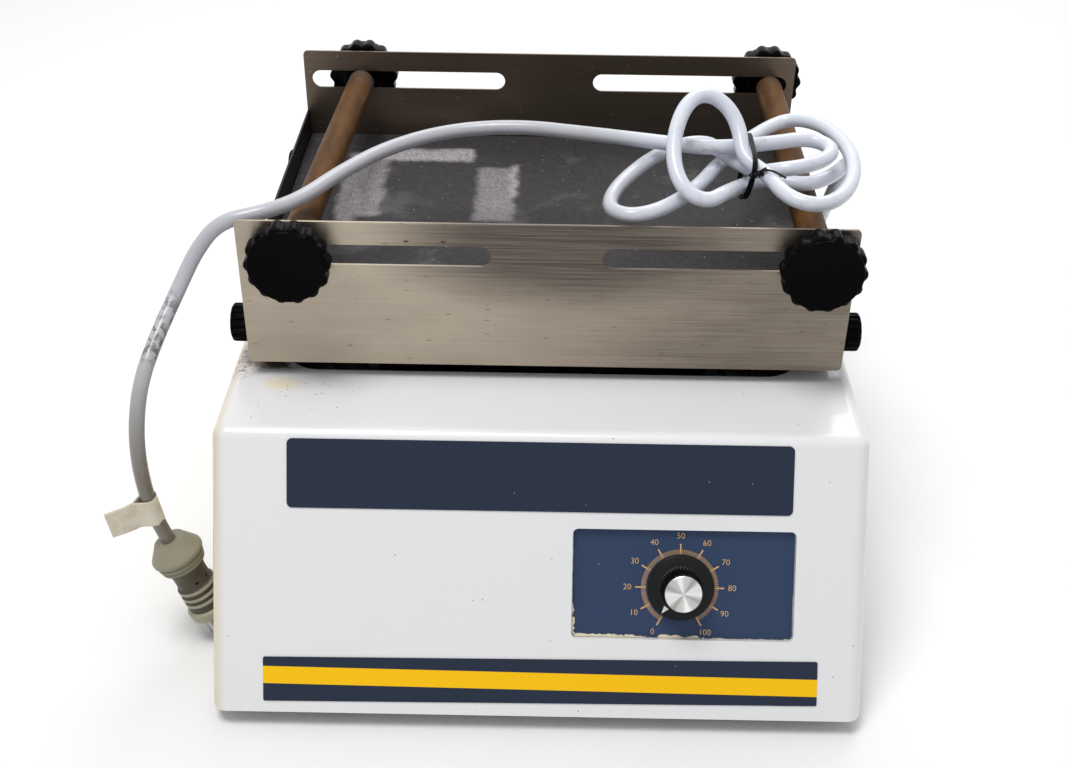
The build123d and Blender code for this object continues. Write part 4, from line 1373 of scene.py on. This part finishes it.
@dataclass
class MainsCord:
    """The cord from the plug over the carrier to its hank, down the right side and into the back."""

    radius: float = 4.2
    length: float = 1.94
    gland_end: Point = (110.0, 234.5, 50.0)
    first_straight: float = 18.0

    def loop(self, centre: Point, half_wide: float, half_long: float, turn: float,
             angles: tuple[float, float], tilt: tuple[float, float], climb: float, steps: int,
             blunt: float) -> list[Point]:
        """One loop of the hank: points along part of a tilted, blunt-ended ellipse, in millimetres.

        Args:
            centre: The ellipse's middle.
            half_wide: Half its width.
            half_long: Half its length.
            turn: How far it is swung about its middle, in degrees.
            angles: Where the loop starts and ends on it, in degrees.
            tilt: Its slope along X and Y.
            climb: The height that the loop gains besides.
            steps: How many points.
            blunt: How blunt its ends are, 1 for a true ellipse.

        Returns:
            The loop's points.
        """
        points = []
        for step in range(steps):
            share = step / (steps - 1)
            angle = math.radians(angles[0] + (angles[1] - angles[0]) * share)
            wide = half_wide * math.copysign(abs(math.cos(angle)) ** blunt, math.cos(angle))
            long = half_long * math.copysign(abs(math.sin(angle)) ** blunt, math.sin(angle))
            swing = math.radians(turn)
            dx = wide * math.cos(swing) - long * math.sin(swing)
            dy = wide * math.sin(swing) + long * math.cos(swing)
            rise = tilt[0] * dx + tilt[1] * dy + climb * (share - 0.5)
            points.append((centre[0] + dx, centre[1] + dy, centre[2] + rise))
        return points

    def route(self) -> list[Point]:
        """The whole route from the plug to the gland, in millimetres.

        Returns:
            The points that guide the cord, in order.
        """
        leaving = tuple(at - self.first_straight * way for at, way in zip(PLUG_START, PLUG_AXIS))
        plug_run = [PLUG_START, leaving, (-217.8, -125.9, 119.2), (-216.6, -123.7, 147.7),
                    (-213, -113, 171), (-207, -91, 186), (-199, -69, 201), (-189, -59.5, 220),
                    (-174.5, -59, 237.2), (-152, -55.5, 240.8), (-134, -41.5, 241.8), (-116, -10, 243.5),
                    (-92, 21.5, 245), (-58, 41.5, 247), (-18, 42.5, 250), (24, 24, 253.8), (60, 4, 258.6),
                    (90, -11, 261.6)]
        hank = self.loop((136.3, -5.2, 256.8), 14.9, 23.6, -60, (182, -40), (0, 0.015), -1.5, 8, 0.89)
        hank += [(114, -12.8, 248.2)]
        hank += self.loop((63.7, -19.6, 247.2), 20.2, 47.1, -31, (52, 392), (0.136, -0.053), -7.4, 13, 0.88)
        hank += [(103.5, 31.5, 236.3), (113, 38, 242.4)]
        hank += self.loop((140.8, 6.8, 248.2), 30.9, 67.8, -1.6, (104.5, -117.5), (0.111, 0.055), 22, 9, 1.04)
        hank += [(119, -28.6, 255.4)]
        hank += self.loop((86.3, -25, 267.8), 18.5, 30.1, -15.4, (19.5, 318), (-0.3, 0.76), 12.6, 12, 0.92)
        hank += [(114.7, -0.4, 236.6), (128.5, 1.7, 237.6)]
        lead_run = [(145.6, -4.3, 237.2), (161, 7, 237), (172.5, 24, 237.2), (181, 42, 232), (183, 64, 216),
                    (182, 86, 194), (182, 106, 167), (183, 128, 140), (185, 148, 110), (188, 166, 79),
                    (192, 184, 49), (196, 206, 24.5), (196, 234, 8.6), (184, 260, 5.2), (162, 273, 8),
                    (139, 277, 18.5), (121, 273, 34), (110, 257, 50), self.gland_end]
        return plug_run + hank + lead_run

    def build(self) -> None:
        """Lays the cord and builds the tag and the tie on it."""
        cord = wire("mains_cord", self.route(), self.radius, "cord_grey", steps=10, round_steps=6)
        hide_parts("cord_front_run", "cord_hank", "cord_rear_lead")
        on_it = ["plug_body", "plug_blades", "cord_gland", FoldedTag().build(), *TwistTie().build()]
        in_metres(self.gland_end)


@dataclass
class Studio:
    """Floor, lamps, surroundings and the camera at the photograph's angle."""

    image_width: float = 1066.0
    sensor: float = 36.0
    focal_pixels: float = 1414.0
    camera_at: Point = (-1.63 * MM, -730.48 * MM, 586.86 * MM)
    pitch: float = math.radians(33.88)
    yaw: float = math.radians(-0.42)
    roll: float = math.radians(0.72)
    soft: Colour = (0.98, 0.99, 1.0)
    soft_strength: float = 0.52
    floor_half: float = 3.0
    lamps: tuple[tuple[str, Point, Point, float, float], ...] = (
        ("key", (-0.45, -0.38, 2.2), (0.0, 0.0, 0.15), 0.9, 28.0),
        ("back", (0.3, 1.3, 1.6), (0.0, 0.0, 0.2), 1.2, 14.0))

    def camera(self) -> None:
        """Stands the camera where the photograph was taken from."""
        lens = bpy.data.cameras.new("camera")
        lens.sensor_width = self.sensor
        lens.sensor_fit = "HORIZONTAL"
        lens.lens = self.focal_pixels / self.image_width * self.sensor
        ahead = Vector((math.sin(self.yaw) * math.cos(self.pitch), math.cos(self.yaw) * math.cos(self.pitch),
                        -math.sin(self.pitch)))
        right = Vector((math.cos(self.yaw), -math.sin(self.yaw), 0.0))
        up = right.cross(ahead)
        turned_right = right * math.cos(self.roll) + up * math.sin(self.roll)
        turned_up = up * math.cos(self.roll) - right * math.sin(self.roll)
        camera = stand("camera", lens)
        turn = Matrix((turned_right, turned_up, -ahead)).transposed().to_4x4()
        camera.matrix_world = Matrix.Translation(self.camera_at) @ turn
        bpy.context.scene.camera = camera

    def lamp(self, name: str, at: Point, aim: Point, size: float, power: float) -> None:
        """Hangs one square soft lamp.

        Args:
            name: The lamp's name.
            at: Where it hangs.
            aim: The point that it faces.
            size: The length of its side.
            power: Its power in watts.
        """
        light = bpy.data.lights.new(name, "AREA")
        light.size = size
        light.energy = power
        toward = (Vector(aim) - Vector(at)).to_track_quat("-Z", "Y")
        stand(name, light).matrix_world = Matrix.Translation(at) @ toward.to_matrix().to_4x4()

    def surroundings(self) -> None:
        """Pale, even light from all round, white where the camera sees it."""
        world = bpy.data.worlds.new("studio")
        world.use_nodes = True
        bpy.context.scene.world = world
        graph = Graph(world.node_tree)
        world.node_tree.nodes.clear()
        camera, glossy, through = (graph.get("ShaderNodeLightPath", f"Is {kind} Ray")
                                   for kind in ("Camera", "Glossy", "Transmission"))
        seen = graph.math("MAXIMUM", camera, graph.math("MAXIMUM", glossy, through))
        soft, white = (graph.get("ShaderNodeBackground", 0, {"Color": (*colour, 1.0), "Strength": strength})
                       for colour, strength in ((self.soft, self.soft_strength), ((1.0, 1.0, 1.0), 1.0)))
        mixed = graph.get("ShaderNodeMixShader", 0, {0: seen, 1: soft, 2: white})
        graph.add("ShaderNodeOutputWorld", {"Surface": mixed})

    def floor(self) -> None:
        """Lays the pale floor."""
        mesh = bpy.data.meshes.new("floor")
        half = self.floor_half
        corners = [(-half, -half, 0), (half, -half, 0), (half, half, 0), (-half, half, 0)]
        mesh.from_pydata(corners, [], [(0, 1, 2, 3)])
        floor = stand("floor", mesh)
        mesh.materials.append(Finish("floor_white", (0.86, 0.86, 0.86), 0.8, tone=0.0, grain=0.0).material())

    def build(self) -> None:
        """Sets the whole studio."""
        self.camera()
        self.surroundings()
        self.floor()
        for lamp in self.lamps:
            self.lamp(*lamp)
        bpy.context.scene.view_settings.view_transform = "Standard"


def dress_frame() -> None:
    """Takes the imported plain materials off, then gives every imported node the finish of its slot."""
    entries = frame["record"]["subparts"]
    for entry in entries:
        frame["nodes"][entry["node"]].data.materials.clear()
    for slot in {entry["material_slot"] for entry in entries}:
        bpy.data.materials.remove(bpy.data.materials[slot])
    for entry in entries:
        frame["nodes"][entry["node"]].data.materials.append(FINISHES[entry["material_slot"]].material())


def main() -> None:
    """Builds the sub-assemblies in order."""
    logging.basicConfig(level=logging.INFO, format="%(name)s %(message)s")
    dress_frame()
    Studio().build()
    Carrier().build()
    ControlPanel().build()
    MainsCord().build()


if __name__ == "__main__":
    main()
